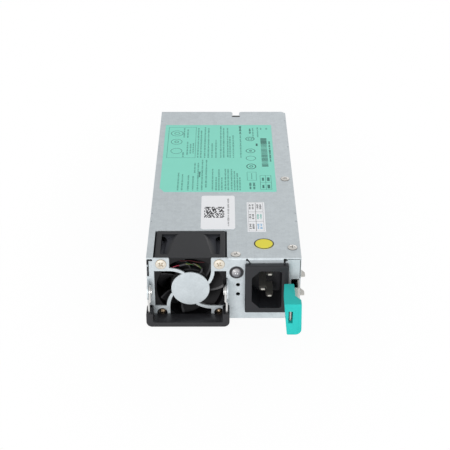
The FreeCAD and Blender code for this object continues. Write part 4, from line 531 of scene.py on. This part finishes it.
SLOT_MATERIALS = {
    "galvanised_steel": GALVANISED,
    "nickel_screws": SILVER_SCREW,
    "black_plastic": BLACK,
    "brass": bright_metal("turned_brass", (0.78, 0.58, 0.26), 0.25),
    "core_steel": bright_metal("core_sheets", (0.38, 0.38, 0.39), 0.4, (1.0, 12.0, 1.0)),
    "copper": wound_copper("copper_wire", (0.78, 0.32, 0.14), turns=900.0),
    "bright_steel": BRIGHT,
    "magnet": bright_metal("magnet_black", (0.07, 0.07, 0.075), 0.5, metal=0.4),
    "inlet_plastic": INLET,
    "plated_blades": BLADE_METAL,
    "lamp_lens": LENS,
    "grip_plastic": GRIP,
    "spring_steel": SPRING,
    "teal_plastic": TEAL,
    "board_green": board_green("board_green"),
    "gold": bright_metal("gold_plate", (0.95, 0.66, 0.22), 0.2, ALONG_Y),
    "film": moulded_plastic("clear_brown_film", (0.32, 0.22, 0.10), 0.3),
    "ferrite": moulded_plastic("ferrite_core", (0.075, 0.073, 0.075), 0.55, 0.4, 500.0),
    "capacitor_yellow": moulded_plastic("capacitor_yellow", (0.82, 0.60, 0.06), 0.35),
    "disc_blue": moulded_plastic("disc_blue", (0.05, 0.20, 0.55), 0.35),
    "ceramic": moulded_plastic("fuse_ceramic", (0.78, 0.76, 0.70), 0.3),
    "can_sleeve": moulded_plastic("can_sleeve", (0.02, 0.02, 0.035), 0.25, 0.5),
    "aluminium": bright_metal("sink_aluminium", (0.74, 0.74, 0.75), 0.34, ALONG_Y),
    "device_black": moulded_plastic("device_black", (0.03, 0.03, 0.032), 0.5, 0.4),
    "winding_tape": moulded_plastic("winding_tape", (0.75, 0.58, 0.10), 0.3, 0.45, 200.0),
    "can_aluminium": bright_metal("can_aluminium", (0.80, 0.80, 0.81), 0.25),
    "connector_white": moulded_plastic("connector_white", (0.80, 0.79, 0.74), 0.4),
    "lead_red": RED_WIRE,
}
NODE_MATERIALS = {"fan_frame": FAN_FRAME, "fan_impeller": ROTOR}
for node_name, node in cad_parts.items():
    for held in node.material_slots:
        held.material = NODE_MATERIALS.get(node_name, SLOT_MATERIALS[held.material.name])


def placed(name, data):
    """New object in the scene that holds the data."""
    made = bpy.data.objects.new(name, data)
    bpy.context.scene.collection.objects.link(made)
    return made


def piece(name, shell, materials, body, smooth=35.0, shares=None):
    """Object from a shell, riding on a body.

    A shell is its points in metres (n, 3) and a list of blocks of faces, each an array with a row of point
    numbers for every face. smooth is the sharpest edge in degrees that looks soft, and shares gives each
    face's material.
    """
    points, blocks = shell
    mesh = bpy.data.meshes.new(name)
    mesh.from_pydata(points.tolist(), [], [face for block in blocks for face in block.tolist()])
    for material in materials if isinstance(materials, (list, tuple)) else [materials]:
        mesh.materials.append(material)
    if shares is not None:
        mesh.polygons.foreach_set("material_index", np.asarray(shares, np.int32))
    mesh.update()
    made = placed(name, mesh)
    if smooth:
        mesh.shade_smooth()
        mesh.set_sharp_from_angle(angle=math.radians(smooth))
    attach(made, body)
    return made


def printed(name, shell, colour):
    """Print on the housing, or painted shade of its gaps, from a shell with flat faces."""
    piece(name, shell, colour, "housing", smooth=None)


def grid_faces(rows, columns):
    """Faces of a grid of points stored row by row from the top, where each row's end meets its start."""
    row, column = np.meshgrid(np.arange(rows - 1), np.arange(columns), indexing="ij")
    start = row * columns + column
    beside = row * columns + (column + 1) % columns
    return np.stack([start, start + columns, beside + columns, beside], axis=-1).reshape(-1, 4)


def joined(shells):
    """Several shells as one: their points one after another, and their faces numbered to match."""
    starts = np.cumsum([0] + [len(points) for points, some in shells])
    blocks = [block + start for start, (points, some) in zip(starts, shells) for block in some]
    return np.concatenate([points for points, some in shells]), blocks


def face_count(blocks):
    """Number of faces in a shell's blocks."""
    return sum(len(block) for block in blocks)


def end_caps(count, total):
    """Two blocks of one face each that close the first and the last ring of count points."""
    return [np.arange(count)[None], np.arange(total - count, total)[None, ::-1]]


def turned(radius, height, centre, axis, up):
    """Closed shell turned about an axis through centre.

    A point is centre + axis * h + (up * cos t + side * sin t) * r, with side = axis x up. radius and height
    are (rows, count) and run from the top outwards and down. The first row of height also places the pole
    that closes the top, the last one the pole below.
    """
    rows, count = radius.shape
    axis = np.array(axis, float)
    up = np.array(up, float)
    side = np.cross(axis, up)
    turn = np.linspace(0, 2 * math.pi, count, endpoint=False)
    ring = np.cos(turn)[:, None] * up + np.sin(turn)[:, None] * side
    centre = np.array(centre, float)
    points = (centre + height[..., None] * axis + radius[..., None] * ring[None]).reshape(-1, 3)
    poles = np.array([centre + axis * height[0].mean(), centre + axis * height[-1].mean()])
    start = np.arange(count)
    beside = (start + 1) % count
    top, low = rows * count, rows * count + 1
    base = (rows - 1) * count
    upper = np.column_stack([np.full(count, top), start, beside])
    lower = np.column_stack([base + start, np.full(count, low), base + beside])
    return np.concatenate([points, poles]), [grid_faces(rows, count), upper, lower]


def turned_profile(profile, count, centre, axis, up):
    """Closed shell from a profile of (radius, height), the same all round, turned about an axis."""
    profile = np.array(profile, float)
    radius = np.repeat(profile[:, :1], count, axis=1)
    height = np.repeat(profile[:, 1:], count, axis=1)
    return turned(radius, height, centre, axis, up)


def swept(path, radius, count):
    """Round wire along a path (n, 3), closed at both ends.

    A ring's point is place + radius * (side * cos t - other * sin t), where side and other are square to the
    path's way and to each other.
    """
    path = np.array(path, float)
    way = np.gradient(path, axis=0)
    way /= np.linalg.norm(way, axis=1)[:, None]
    side = np.cross(way, np.array(BACK))
    side /= np.linalg.norm(side, axis=1)[:, None]
    other = np.cross(way, side)
    turn = np.linspace(0, 2 * math.pi, count, endpoint=False)
    ring = np.cos(turn)[None, :, None] * side[:, None] - np.sin(turn)[None, :, None] * other[:, None]
    points = (path[:, None] + radius * ring).reshape(-1, 3)
    return points, [grid_faces(len(path), count)] + end_caps(count, len(points))


def through(places, count):
    """Smooth path of count points through places.

    From place b to place c, with a before and d after them, it is the cubic that leaves b with the slope
    (c - a) / 2 and reaches c with the slope (d - b) / 2.
    """
    places = np.array(places, float)
    padded = np.concatenate([[2 * places[0] - places[1]], places, [2 * places[-1] - places[-2]]])
    along = np.linspace(0, len(places) - 1 - 1e-9, count)
    index = along.astype(int)
    part = (along - index)[:, None]
    a, b, c, d = (padded[index + offset] for offset in range(4))
    return 0.5 * (2 * b + (c - a) * part + (2 * a - 5 * b + 4 * c - d) * part ** 2
                  + (3 * b - a - 3 * c + d) * part ** 3)


def rounded_outline(x, y, radius, steps=6):
    """Outline of a rectangle over spans x and y, counterclockwise seen from above.

    A corner's points are the centre of its arc + radius * (cos t, sin t) over a quarter turn.
    """
    corners = ((x[1], y[0], 1, -1), (x[1], y[1], 1, 1), (x[0], y[1], -1, 1), (x[0], y[0], -1, -1))
    points = []
    for index, (a, b, side, level) in enumerate(corners):
        turn = np.linspace(0, math.pi / 2, steps) + (index - 1) * math.pi / 2
        points.append(np.stack([a - side * radius + radius * np.cos(turn),
                                b - level * radius + radius * np.sin(turn)], axis=-1))
    return np.concatenate(points)


def oval(centre, half_x, half_y, count=36):
    """Outline of an oval: centre + (half_x * cos t, half_y * sin t) over a whole turn."""
    turn = np.linspace(0, 2 * math.pi, count, endpoint=False)
    return np.column_stack([centre[0] + half_x * np.cos(turn), centre[1] + half_y * np.sin(turn)])


def label(name, outline, material):
    """Label on the lid: an outline (n, 2) in metres carried up through the label's thickness."""
    count = len(outline)
    rings = [np.column_stack([outline, np.full(count, height)]) for height in (LABEL_TOP, LID)]
    blocks = [grid_faces(2, count)] + end_caps(count, 2 * count)
    piece(name, (np.concatenate(rings), blocks), material, "housing", smooth=None)


def flat_ring(outer, inner):
    """Shell of a ring printed on a label: the band between two outlines of as many points, on the label's
    top and one thickness of ink above it, with a wall along each outline.
    """
    count = len(outer)
    top = LABEL_TOP + INK_THICK
    rings = [np.column_stack([outline, np.full(count, height)])
             for outline, height in ((inner, top), (outer, top), (outer, LABEL_TOP), (inner, LABEL_TOP))]
    start = np.arange(count)
    beside = (start + 1) % count
    inside = np.column_stack([3 * count + start, start, beside, 3 * count + beside])
    return np.concatenate(rings), [grid_faces(4, count), inside]


def mark_boxes(marks, low=LABEL_TOP):
    """Shells of printed marks, or of painted gap shade, as thin boxes: rows of (centre x, centre y, width,
    length) in metres.

    A box's corners are its centre plus or minus half its width and length, at low and one thickness of ink
    above it.
    """
    marks = np.array(marks, float)
    corner = np.array([(-1, -1, 0), (1, -1, 0), (1, 1, 0), (-1, 1, 0),
                       (-1, -1, 1), (1, -1, 1), (1, 1, 1), (-1, 1, 1)], float)
    spans = np.column_stack([marks[:, 2:4] / 2, np.full(len(marks), INK_THICK)])
    centres = np.column_stack([marks[:, :2], np.full(len(marks), low)])
    points = (centres[:, None, :] + corner[None] * spans[:, None, :]).reshape(-1, 3)
    sides = np.array([(3, 2, 1, 0), (4, 5, 6, 7), (0, 1, 5, 4), (1, 2, 6, 5), (2, 3, 7, 6), (3, 0, 4, 7)])
    return points, [(np.arange(len(marks))[:, None, None] * 8 + sides[None]).reshape(-1, 4)]


def on_lid(x, behind):
    """Point of the lid in metres."""
    return x * MM, FRONT + behind * MM


def lid_span(x, behind):
    """Spans of the lid in metres."""
    return (x[0] * MM, x[1] * MM), (FRONT + behind[0] * MM, FRONT + behind[1] * MM)


def lid_mark(x, behind, width, length):
    """Mark on the lid as mark_boxes takes it."""
    return (*on_lid(x, behind), width * MM, length * MM)


def frame_lines(x, behind, width):
    """Four marks that draw a rectangle's outline over spans of the lid."""
    (x0, x1), (y0, y1) = lid_span(x, behind)
    width *= MM
    wide, long = x1 - x0, y1 - y0
    middle_x, middle_y = (x0 + x1) / 2, (y0 + y1) / 2
    return [(x0, middle_y, width, long + width), (x1, middle_y, width, long + width),
            (middle_x, y0, wide, width), (middle_x, y1, wide, width)]


def dash_column(rng, x, start, end, height=TEXT_HEIGHT, cover=0.55):
    """Small print as plain dashes in one column along the lid: uneven groups with gaps between them."""
    x, place = on_lid(x, end)
    start = FRONT + start * MM
    height *= MM
    marks = []
    while place > start:
        group = min(rng.uniform(*DASH_GROUP) * height, place - start)
        count = max(1, int(group / (DASH_PITCH * height)))
        for index in range(count):
            centre = place - (index + 0.5) * group / count
            marks.append((x, centre, height * rng.uniform(*DASH_WIDTH), cover * group / count))
        place -= group + GROUP_GAP * height
    return marks


def bar_row(rng):
    """Row of bars: bars and gaps of random width, with thick even bars at both ends."""
    bars = []
    place, end = BAR_ROW
    while place < end:
        fine = FINE_BARS[0] < place < FINE_BARS[1]
        thick = rng.choice((0.3, 0.45, 0.7)) if fine else 1.1
        bars.append((*on_lid(BAR_ROW_PLACE, place + thick / 2), BAR_LENGTH, thick * MM))
        place += thick + rng.choice((0.35, 0.5, 0.7)) * (1.0 if fine else 0.6)
    return bars


def rating_label():
    """Mint label with a cut corner, its print as plain dashes, frames, rings and bars."""
    (x0, x1), (y0, y1) = lid_span(*RATING_LABEL)
    cut_x, cut_y, soft = 2.8 * MM, 4.9 * MM, 0.6 * MM
    outline = np.array([(x0 + cut_x, y0), (x1 - soft, y0), (x1, y0 + soft), (x1, y1 - soft), (x1 - soft, y1),
                        (x0 + soft, y1), (x0, y1 - soft), (x0, y0 + cut_y)])
    label("rating_label", outline, MINT)
    rng = np.random.default_rng(7)
    light = [mark for column in RATING_COLUMNS for mark in dash_column(rng, *column)]
    light += [line for span in RATING_FRAMES for line in frame_lines(*span, 0.22)]
    light += [lid_mark(*stroke) for stroke in RATING_STROKES]
    printed("rating_label_print", mark_boxes(light), TEAL_INK)
    bold = [mark for column in RATING_BOLD_COLUMNS for mark in dash_column(rng, *column, cover=0.75)]
    bold.append(lid_mark(*RATING_BLOT))
    bold += bar_row(rng)
    printed("rating_label_bold_print", mark_boxes(bold), DARK_INK)
    rings = []
    for x, behind, half_x, half_y, width in RATING_RINGS:
        centre = on_lid(x, behind)
        rings.append(flat_ring(oval(centre, half_x * MM, half_y * MM),
                               oval(centre, (half_x - width) * MM, (half_y - width) * MM)))
    printed("rating_label_rings", joined(rings), DARK_INK)


def white_label():
    """White label with rounded corners, a patch of scattered squares and a thin column of dashes."""
    label("white_label", rounded_outline(*lid_span(*WHITE_LABEL), WHITE_CORNER), PAPER)
    rng = np.random.default_rng(11)
    columns, rows = WHITE_PATCH_CELLS
    overlap = 1.02
    (x0, x1), (y0, y1) = lid_span(*WHITE_PATCH)
    wide, long = (x1 - x0) / columns, (y1 - y0) / rows
    column, row = np.nonzero(rng.random((columns, rows)) < 0.5)
    marks = [(x0 + (a + 0.5) * wide, y0 + (b + 0.5) * long, wide * overlap, long * overlap)
             for a, b in zip(column, row)]
    marks += dash_column(rng, *WHITE_COLUMN, height=1.25, cover=0.45)
    printed("white_label_print", mark_boxes(marks), BLACK_INK)


def check_label():
    """Small white label of six cells, each with a few plain strokes."""
    label("check_label", rounded_outline(*lid_span(*CHECK_LABEL), CHECK_CORNER), PAPER)
    rng = np.random.default_rng(3)
    lines = [lid_mark(*line) for line in CHECK_LINES] + frame_lines(*CHECK_FRAME, 0.12)
    strokes = {"black": [], "green": [], "blue": []}
    for x, behind, colour in CHECK_CELLS:
        for side in (-0.85, 0.85):
            strokes[colour] += dash_column(rng, x + side, behind - 3.0, behind + 3.0, height=1.45, cover=0.6)
    printed("check_label_lines", mark_boxes(lines + strokes["black"]), BLACK_INK)
    printed("check_label_green", mark_boxes(strokes["green"]), GREEN_INK)
    printed("check_label_blue", mark_boxes(strokes["blue"]), BLUE_INK)


def yellow_dot():
    """Plain yellow round sticker with a dark rim."""
    centre = on_lid(*DOT_PLACE)
    outer, inner = (oval(centre, radius, radius, 48) for radius in (DOT_RADIUS, DOT_INNER_RADIUS))
    label("yellow_dot", outer, YELLOW)
    printed("yellow_dot_rim", flat_ring(outer, inner), BLACK_INK)


def cross_bar(across, along):
    """1 within a bar of a screw's cross and 0 beside it, softly, in shares of the head's radius."""
    sides = np.clip((CROSS_HALF_WIDTH - np.abs(across)) / 0.06 + 0.5, 0, 1)
    ends = np.clip((CROSS_REACH - np.abs(along)) / 0.08 + 0.5, 0, 1)
    return sides * ends


def screw_shell(seat, axis, turn, radius, collar, rim, crown, shank, length):
    """Screw with a crossed head turned about its axis, and the mask of its faces in painted shade.

    With s from 0 to 1 out to the head's edge, its height is rim + crown * (1 - (s / collar)^2), no less than
    rim, less a share of rim + crown within the cross's two bars. The side drops to the seat, and the shank
    goes on below it.
    """
    count, rows = 56, 18
    share = np.linspace(HEAD_MIDDLE, 1.0, rows)[:, None] * np.ones(count)
    angle = np.linspace(0, 2 * math.pi, count, endpoint=False)[None] + turn
    across, high = share * np.cos(angle), share * np.sin(angle)
    cross = np.maximum(cross_bar(across, high), cross_bar(high, across))
    level = rim + crown * np.clip(1 - (share / collar) ** 2, 0, 1) - CROSS_DEPTH * (rim + crown) * cross
    level[-1] -= EDGE_DROP * rim
    foot = np.ones(count)
    radii = np.concatenate([share * radius, [foot * radius, foot * shank, foot * shank]])
    heights = np.concatenate([level, [foot * 0, foot * 0, foot * -length]])
    points, blocks = turned(radii, heights, seat, axis, UP if abs(axis[1]) > 0.5 else BACK)
    # Painted shade: the darker metal goes on the cross, the head's middle, its outer edge and its side
    shaded_faces = np.zeros(face_count(blocks), bool)
    inner = (cross[:-1] + np.roll(cross[:-1], -1, axis=1) + cross[1:] + np.roll(cross[1:], -1, axis=1)) / 4
    shaded_faces[:(rows - 1) * count] = ((inner > RECESS_DEEP) & (share[1:] > RECESS_FROM)).reshape(-1)
    shaded_faces[(rows - 2) * count:rows * count] = True
    shaded_faces[(rows + 2) * count:(rows + 3) * count] = True
    return (points, blocks), shaded_faces


def screw_set(name, screws, metal, recess):
    """One piece of several screws, their crosses and head edges in a darker metal as painted shade."""
    shells = [shell for shell, shaded_faces in screws]
    shaded_faces = np.concatenate([shaded_faces for shell, shaded_faces in screws])
    return piece(name, joined(shells), [metal, recess], "housing", smooth=40.0,
                 shares=shaded_faces.astype(int))


def all_screws():
    """Lid screws, and the fan's: wide pale ones on the upper pads, small dark ones in the lower holes."""
    lid = [screw_shell((*on_lid(x, behind), LID), UP, turn, **LID_SCREW)
           for x, behind, turn in LID_SCREW_PLACES]
    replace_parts(screw_set("lid_screws", lid, SILVER_SCREW, SILVER_RECESS_SHADE), "cover_screws")
    pitch = FAN_SCREW_HALF_PITCH
    upper = [screw_shell((FAN_X + side * pitch, FRONT, FAN_Z + pitch), AHEAD, turn, **UPPER_SCREW)
             for side, turn in ((-1, 0.75), (1, 0.55))]
    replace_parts(screw_set("fan_upper_screws", upper, CREAM_SCREW, CREAM_RECESS_SHADE), "fan_screws")
    lower = [screw_shell((FAN_X + side * pitch, LOWER_SCREW_SEAT, FAN_Z - pitch), AHEAD, turn, **LOWER_SCREW)
             for side, turn in ((-1, 0.2), (1, 0.6))]
    screw_set("fan_lower_screws", lower, DARK_SCREW, DARK_RECESS_SHADE)


def blade_shell(turn):
    """One fan blade as a closed shell, and 1 for each face of its leading edge, which takes a painted
    highlight.

    At a share s of the way out, the mean line runs from the leading edge at angle tip - sweep * (1 - s) back
    through the blade's length, turning by wrap(s) * (c + camber * sin(pi c)) on its way c from 0 to 1. The
    thickness is thick * (root - thinning * s) * (edge + (1 - edge) * sin(pi c)^0.6), half to each side and
    square to the mean line.
    """
    rows, half = 9, 16
    share = np.linspace(0, 1, rows)[:, None]
    radius = BLADE_ROOT + (BLADE_TIP - BLADE_ROOT) * share
    loop = (1 - np.cos(np.linspace(0, math.pi, half))) / 2
    c = np.concatenate([loop, loop[::-1][1:-1]])[None]
    side = np.concatenate([np.ones(half), -np.ones(half - 2)])[None]
    wrap = np.radians(WRAP_AT_ROOT + WRAP_TO_TIP * share)
    angle = EDGE_AT_TIP - EDGE_SWEEP * (1 - share) + turn + wrap * (c + BLADE_CAMBER * np.sin(math.pi * c))
    along = BLADE_LENGTH * c
    around_step = radius * wrap * (1 + BLADE_CAMBER * math.pi * np.cos(math.pi * c))
    slope = np.sqrt(around_step ** 2 + BLADE_LENGTH ** 2)
    belly = EDGE_SHARE + (1 - EDGE_SHARE) * np.sin(math.pi * c) ** 0.6
    thick = side * BLADE_THICK / 2 * (ROOT_SHARE - THINNING_SHARE * share) * belly
    angle = angle + thick * (BLADE_LENGTH / slope) / radius
    along = along - thick * around_step / slope
    points = np.stack([FAN_X + radius * np.cos(angle), BLADE_FRONT + along, FAN_Z + radius * np.sin(angle)],
                      axis=-1)
    count = c.shape[1]
    first = np.arange(1, half - 2)
    root = [np.column_stack([first, first + 1, count - first - 1, count - first]),
            np.array([(0, 1, count - 1), (half - 2, half - 1, half)])]
    tip = [block[:, ::-1] + (rows - 1) * count for block in root]
    blocks = [grid_faces(rows, count)] + root + tip
    edge_highlight = np.zeros(face_count(blocks), int)
    quads = np.zeros((rows - 1, count), int)
    quads[:, :2] = quads[:, -2:] = 1
    edge_highlight[:quads.size] = quads.reshape(-1)
    return (points.reshape(-1, 3), blocks), edge_highlight


def impeller():
    """Fan impeller: a cup-shaped hub and seven twisted, swept blades.

    The hub's profile runs out over the cap, round a quarter circle at its edge, back along the outside, and
    inside the cup to the cap's rear.
    """
    start, end = FAN_LOW.y, FAN_HIGH.y
    inner = HUB_RADIUS - HUB_WALL
    turn = np.linspace(0, math.pi / 2, 7)
    edge = np.column_stack([HUB_RADIUS - HUB_EDGE + HUB_EDGE * np.sin(turn),
                            -start - HUB_EDGE + HUB_EDGE * np.cos(turn)])
    back = [(HUB_RADIUS, -end), (inner, -end), (inner, -start - HUB_CAP), (HUB_MIDDLE, -start - HUB_CAP)]
    profile = np.concatenate([[(HUB_MIDDLE, -start)], edge, back])
    hub = turned_profile(profile, 72, (FAN_X, 0.0, FAN_Z), AHEAD, UP)
    blades = [blade_shell(2 * math.pi * index / BLADE_COUNT) for index in range(BLADE_COUNT)]
    # The blades' leading edges take the lighter plastic as a painted highlight
    shares = np.concatenate([np.zeros(face_count(hub[1]), int)] + [edge_highlight for shell, edge_highlight in blades])
    shell = joined([hub] + [shell for shell, edge_highlight in blades])
    made = piece("impeller", shell, [ROTOR, ROTOR_EDGE_HIGHLIGHT], "fan_rotor", shares=shares)
    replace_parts(made, "fan_impeller")


def lamp():
    """Domed lens of the status lamp: (radius * sin t, front + dome * (cos t - 1)) over a quarter turn, then
    straight to the rear, turned about the lamp's axis.
    """
    radius = (LAMP_HIGH.x - LAMP_LOW.x) / 2
    front, rear = -LAMP_LOW.y, -LAMP_HIGH.y
    turn = np.linspace(0.08, math.pi / 2, 12)
    dome = np.column_stack([radius * np.sin(turn), front - LENS_DOME + LENS_DOME * np.cos(turn)])
    profile = np.concatenate([dome, [(radius, rear)]])
    shell = turned_profile(profile, 48, (LAMP_X, 0.0, LAMP_Z), AHEAD, UP)
    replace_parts(piece("lamp_lens", shell, LENS, "housing"), "status_lamp")


def soft_edged(node_name, body, width):
    """Copy of a moulded CAD node with its sharp edges rounded, in the node's place.

    The copy's split corners are joined and its flat faces made whole, and a bevel rounds each edge that turns
    by over 35 degrees.
    """
    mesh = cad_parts[node_name].data.copy()
    shell = bmesh.new()
    shell.from_mesh(mesh)
    bmesh.ops.remove_doubles(shell, verts=shell.verts, dist=0.001 * MM)
    bmesh.ops.dissolve_limit(shell, angle_limit=math.radians(0.5), verts=shell.verts, edges=shell.edges)
    shell.to_mesh(mesh)
    shell.free()
    mesh.shade_smooth()
    made = placed(node_name + "_soft", mesh)
    edges = made.modifiers.new("soft_edges", "BEVEL")
    edges.width = width
    edges.segments = 3
    edges.limit_method = "ANGLE"
    edges.angle_limit = math.radians(35.0)
    edges.harden_normals = True
    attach(made, body)
    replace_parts(made, node_name)


def tapered_bar(x, y, z, nose):
    """Shell of a bar between spans x, y and z. Its section is a rectangle, half as wide and high at the front
    end as from the end of the nose to the rear.
    """
    stations = ((y[0], 0.5), (y[0] + nose, 1.0), (y[1], 1.0))
    corners = np.array([(-1, -1), (1, -1), (1, 1), (-1, 1)], float)
    middle = np.array([(x[0] + x[1]) / 2, (z[0] + z[1]) / 2])
    half = np.array([(x[1] - x[0]) / 2, (z[1] - z[0]) / 2])
    rings = []
    for along, share in stations:
        across = middle + corners * half * share
        rings.append(np.column_stack([across[:, 0], np.full(4, along), across[:, 1]]))
    return np.concatenate(rings), [grid_faces(3, 4)] + end_caps(4, 12)


def inlet_pins():
    """Three flat pins of the mains inlet with tapered noses, and their solder tails down to the board."""
    rear = PINS_HIGH.y
    shells = []
    for x, z, tip in INLET_PINS:
        across = ((x - PIN_HALF_WIDTH) * MM, (x + PIN_HALF_WIDTH) * MM)
        high = ((z - PIN_HALF_THICK) * MM, (z + PIN_HALF_THICK) * MM)
        shells.append(tapered_bar(across, (INLET_FACE + tip * MM, rear - TAIL_THICK), high, PIN_NOSE))
        shells.append(tapered_bar(across, (rear - TAIL_THICK, rear), (PINS_LOW.z, high[1]), SQUARE_NOSE))
    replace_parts(piece("inlet_pins", joined(shells), BLADE_METAL, "housing", smooth=None),
                "inlet_blades")


def painted_gap_shade():
    """Painted gap shade, thin dark stripes: at the lid's rear notch, beside the front face and over the
    inlet.

    The face's stripes are flat boxes stood up: (x, y, height) becomes (x, FRONT - height, y).
    """
    points, blocks = mark_boxes(np.array(FACE_GAPS) * MM, 0.0)
    upright = np.column_stack([points[:, 0], FRONT - points[:, 2], points[:, 1]])
    printed("painted_gap_shade", joined([mark_boxes([lid_mark(*NOTCH_GAP)], LID), (upright, blocks)]), GAP_SHADE_BLACK)


def wire_path(places, count):
    """Smooth path of a wire through places on the face, just behind the guard."""
    x, z = np.array(places).T * MM
    return through(np.column_stack([x, np.full(len(x), WIRE_DEPTH), z]), count)


def fan_wires():
    """Thin wires of the motor across the top of the duct: red at the left, twisted colours at the right.
    Past its bright part the red wire goes on in painted shade, and a black sleeve over the tail is painted
    shade.

    Each runs round the path as a helix, at path + spread * (0, cos t, sin t), where t is its phase + the
    twist * the share of the run.
    """
    path = wire_path(TWISTED_ROUTE, 100)
    along = np.linspace(0, 1, len(path))
    for name, material, phase, first, last, spread in (
            ("fan_wire_red", RED_WIRE, 0.0, 0.0, RED_SHADE_START, 0.25),
            ("fan_wire_green", GREEN_WIRE, 1.6, RED_SHADE_START, 1.0, 0.36),
            ("fan_wire_yellow", YELLOW_WIRE, 3.1, RED_SHADE_START, 1.0, 0.36),
            ("fan_wire_white", WHITE_WIRE, 4.7, RED_SHADE_START, 1.0, 0.36),
            ("fan_wire_red_painted_shade", SHADED_RED_WIRE, 0.0, RED_SHADE_START, 1.0, 0.36)):
        kept = (along >= first) & (along <= last)
        turn = phase + WIRE_TWIST * along[kept]
        offset = np.stack([np.zeros(kept.sum()), np.cos(turn), np.sin(turn)], axis=-1) * spread * MM
        piece(name, swept(path[kept] + offset, WIRE_RADIUS, 8), material, "housing")
    # Black sleeves: the one over the wires' tail is painted shade
    sleeves = [swept(path[(along > start) & (along < end)], SLEEVE_RADIUS, 12) for start, end in SLEEVES_AND_SHADE]
    piece("fan_wire_sleeves_and_shade", joined(sleeves), BLACK, "housing")
    upper = swept(wire_path(UPPER_ROUTE, 30), UPPER_WIRE_RADIUS, 8)
    piece("fan_wire_upper", upper, SHADED_RED_WIRE, "housing")


def face_mark():
    """Small pressed crescent on the front face beside the guard: a thin round rod along an arc about the
    mark's place, half sunk in the sheet.
    """
    turn = np.linspace(math.radians(-75), math.radians(95), 24)
    path = np.column_stack([MARK_PLACE[0] + MARK_RADIUS * np.cos(turn), np.full(len(turn), FRONT),
                            MARK_PLACE[1] + MARK_RADIUS * np.sin(turn)])
    piece("pressed_mark", swept(path, MARK_ROD_RADIUS, 8), GALVANISED, "housing")


def aim(held, place, target):
    """Put an object at a place, facing a target."""
    held.location = place
    held.rotation_mode = "QUATERNION"
    held.rotation_quaternion = (Vector(target) - Vector(place)).to_track_quat("-Z", "Y")


def camera():
    """Camera at the photograph's place."""
    data = bpy.data.cameras.new("camera")
    data.sensor_width = SENSOR
    data.lens = FOCAL_PIXELS / PHOTO_PIXELS * SENSOR
    data.clip_start = 0.01
    data.clip_end = 20.0
    held = placed("camera", data)
    aim(held, CAMERA_PLACE, CAMERA_TARGET)
    bpy.context.scene.camera = held


def floor():
    """Pale floor: it takes the object's shadow near it, and shows as plain white farther off."""
    half = FLOOR_SIZE / 2
    mesh = bpy.data.meshes.new("floor")
    corners = [(-half, -half, 0), (half, -half, 0), (half, half, 0), (-half, half, 0)]
    mesh.from_pydata(corners, [], [(0, 1, 2, 3)])
    placed("floor", mesh)
    paint = Paint("floor_white")
    paint.set(Base_Color=(FLOOR_WHITE,) * 3, Roughness=0.9)
    glow = paint.node("ShaderNodeEmission", {}, {"Color": (1.0, 1.0, 1.0), "Strength": 1.0})
    seen = paint.ray("Is Camera Ray") + paint.ray("Is Glossy Ray") + paint.ray("Is Transmission Ray")
    x, y, z = paint.parts(paint.where())
    away = (x * x + y * y * SHADOW_ALONG) ** 0.5
    share = seen * paint.span(away, FLOOR_GLOW, 1.0, *SHADOW_REACH)
    shader = Link(paint, paint.shader.outputs[0])
    mixed = paint.node("ShaderNodeMixShader", {}, {0: share, 1: shader, 2: glow})
    paint.tree.links.new(mixed.socket, paint.tree.nodes["Material Output"].inputs["Surface"])
    mesh.materials.append(paint.material)


def surround():
    """World that lights softly, is white to the camera and through glass, and a pale grey in metal."""
    paint = Paint("surround", world=True)
    bpy.context.scene.world = paint.material
    seen = paint.ray("Is Camera Ray") + paint.ray("Is Transmission Ray")
    mirrored = paint.ray("Is Glossy Ray")
    more_seen = seen * (WORLD_WHITE - WORLD_DIFFUSE)
    more_mirrored = mirrored * (WORLD_MIRRORED - WORLD_DIFFUSE)
    paint.set(Color=(1.0, 1.0, 1.0), Strength=more_seen + more_mirrored + WORLD_DIFFUSE)


def lamps():
    """Two soft lamps in front, low enough to light the face more than the lid, and a weak one behind."""
    for name, (place, size, power) in LAMPS.items():
        light = bpy.data.lights.new(name, "AREA")
        light.size = size
        light.energy = power
        aim(placed(name, light), place, LAMP_TARGET)


rating_label()
white_label()
check_label()
yellow_dot()
all_screws()
impeller()
lamp()
soft_edged("latch_tab", "latch", TAB_EDGE)
soft_edged("handle_grip", "handle", GRIP_EDGE)
soft_edged("inlet_housing", "housing", INLET_EDGE)
inlet_pins()
painted_gap_shade()
fan_wires()
face_mark()

camera()
floor()
surround()
lamps()
bpy.context.scene.view_settings.view_transform = "Standard"
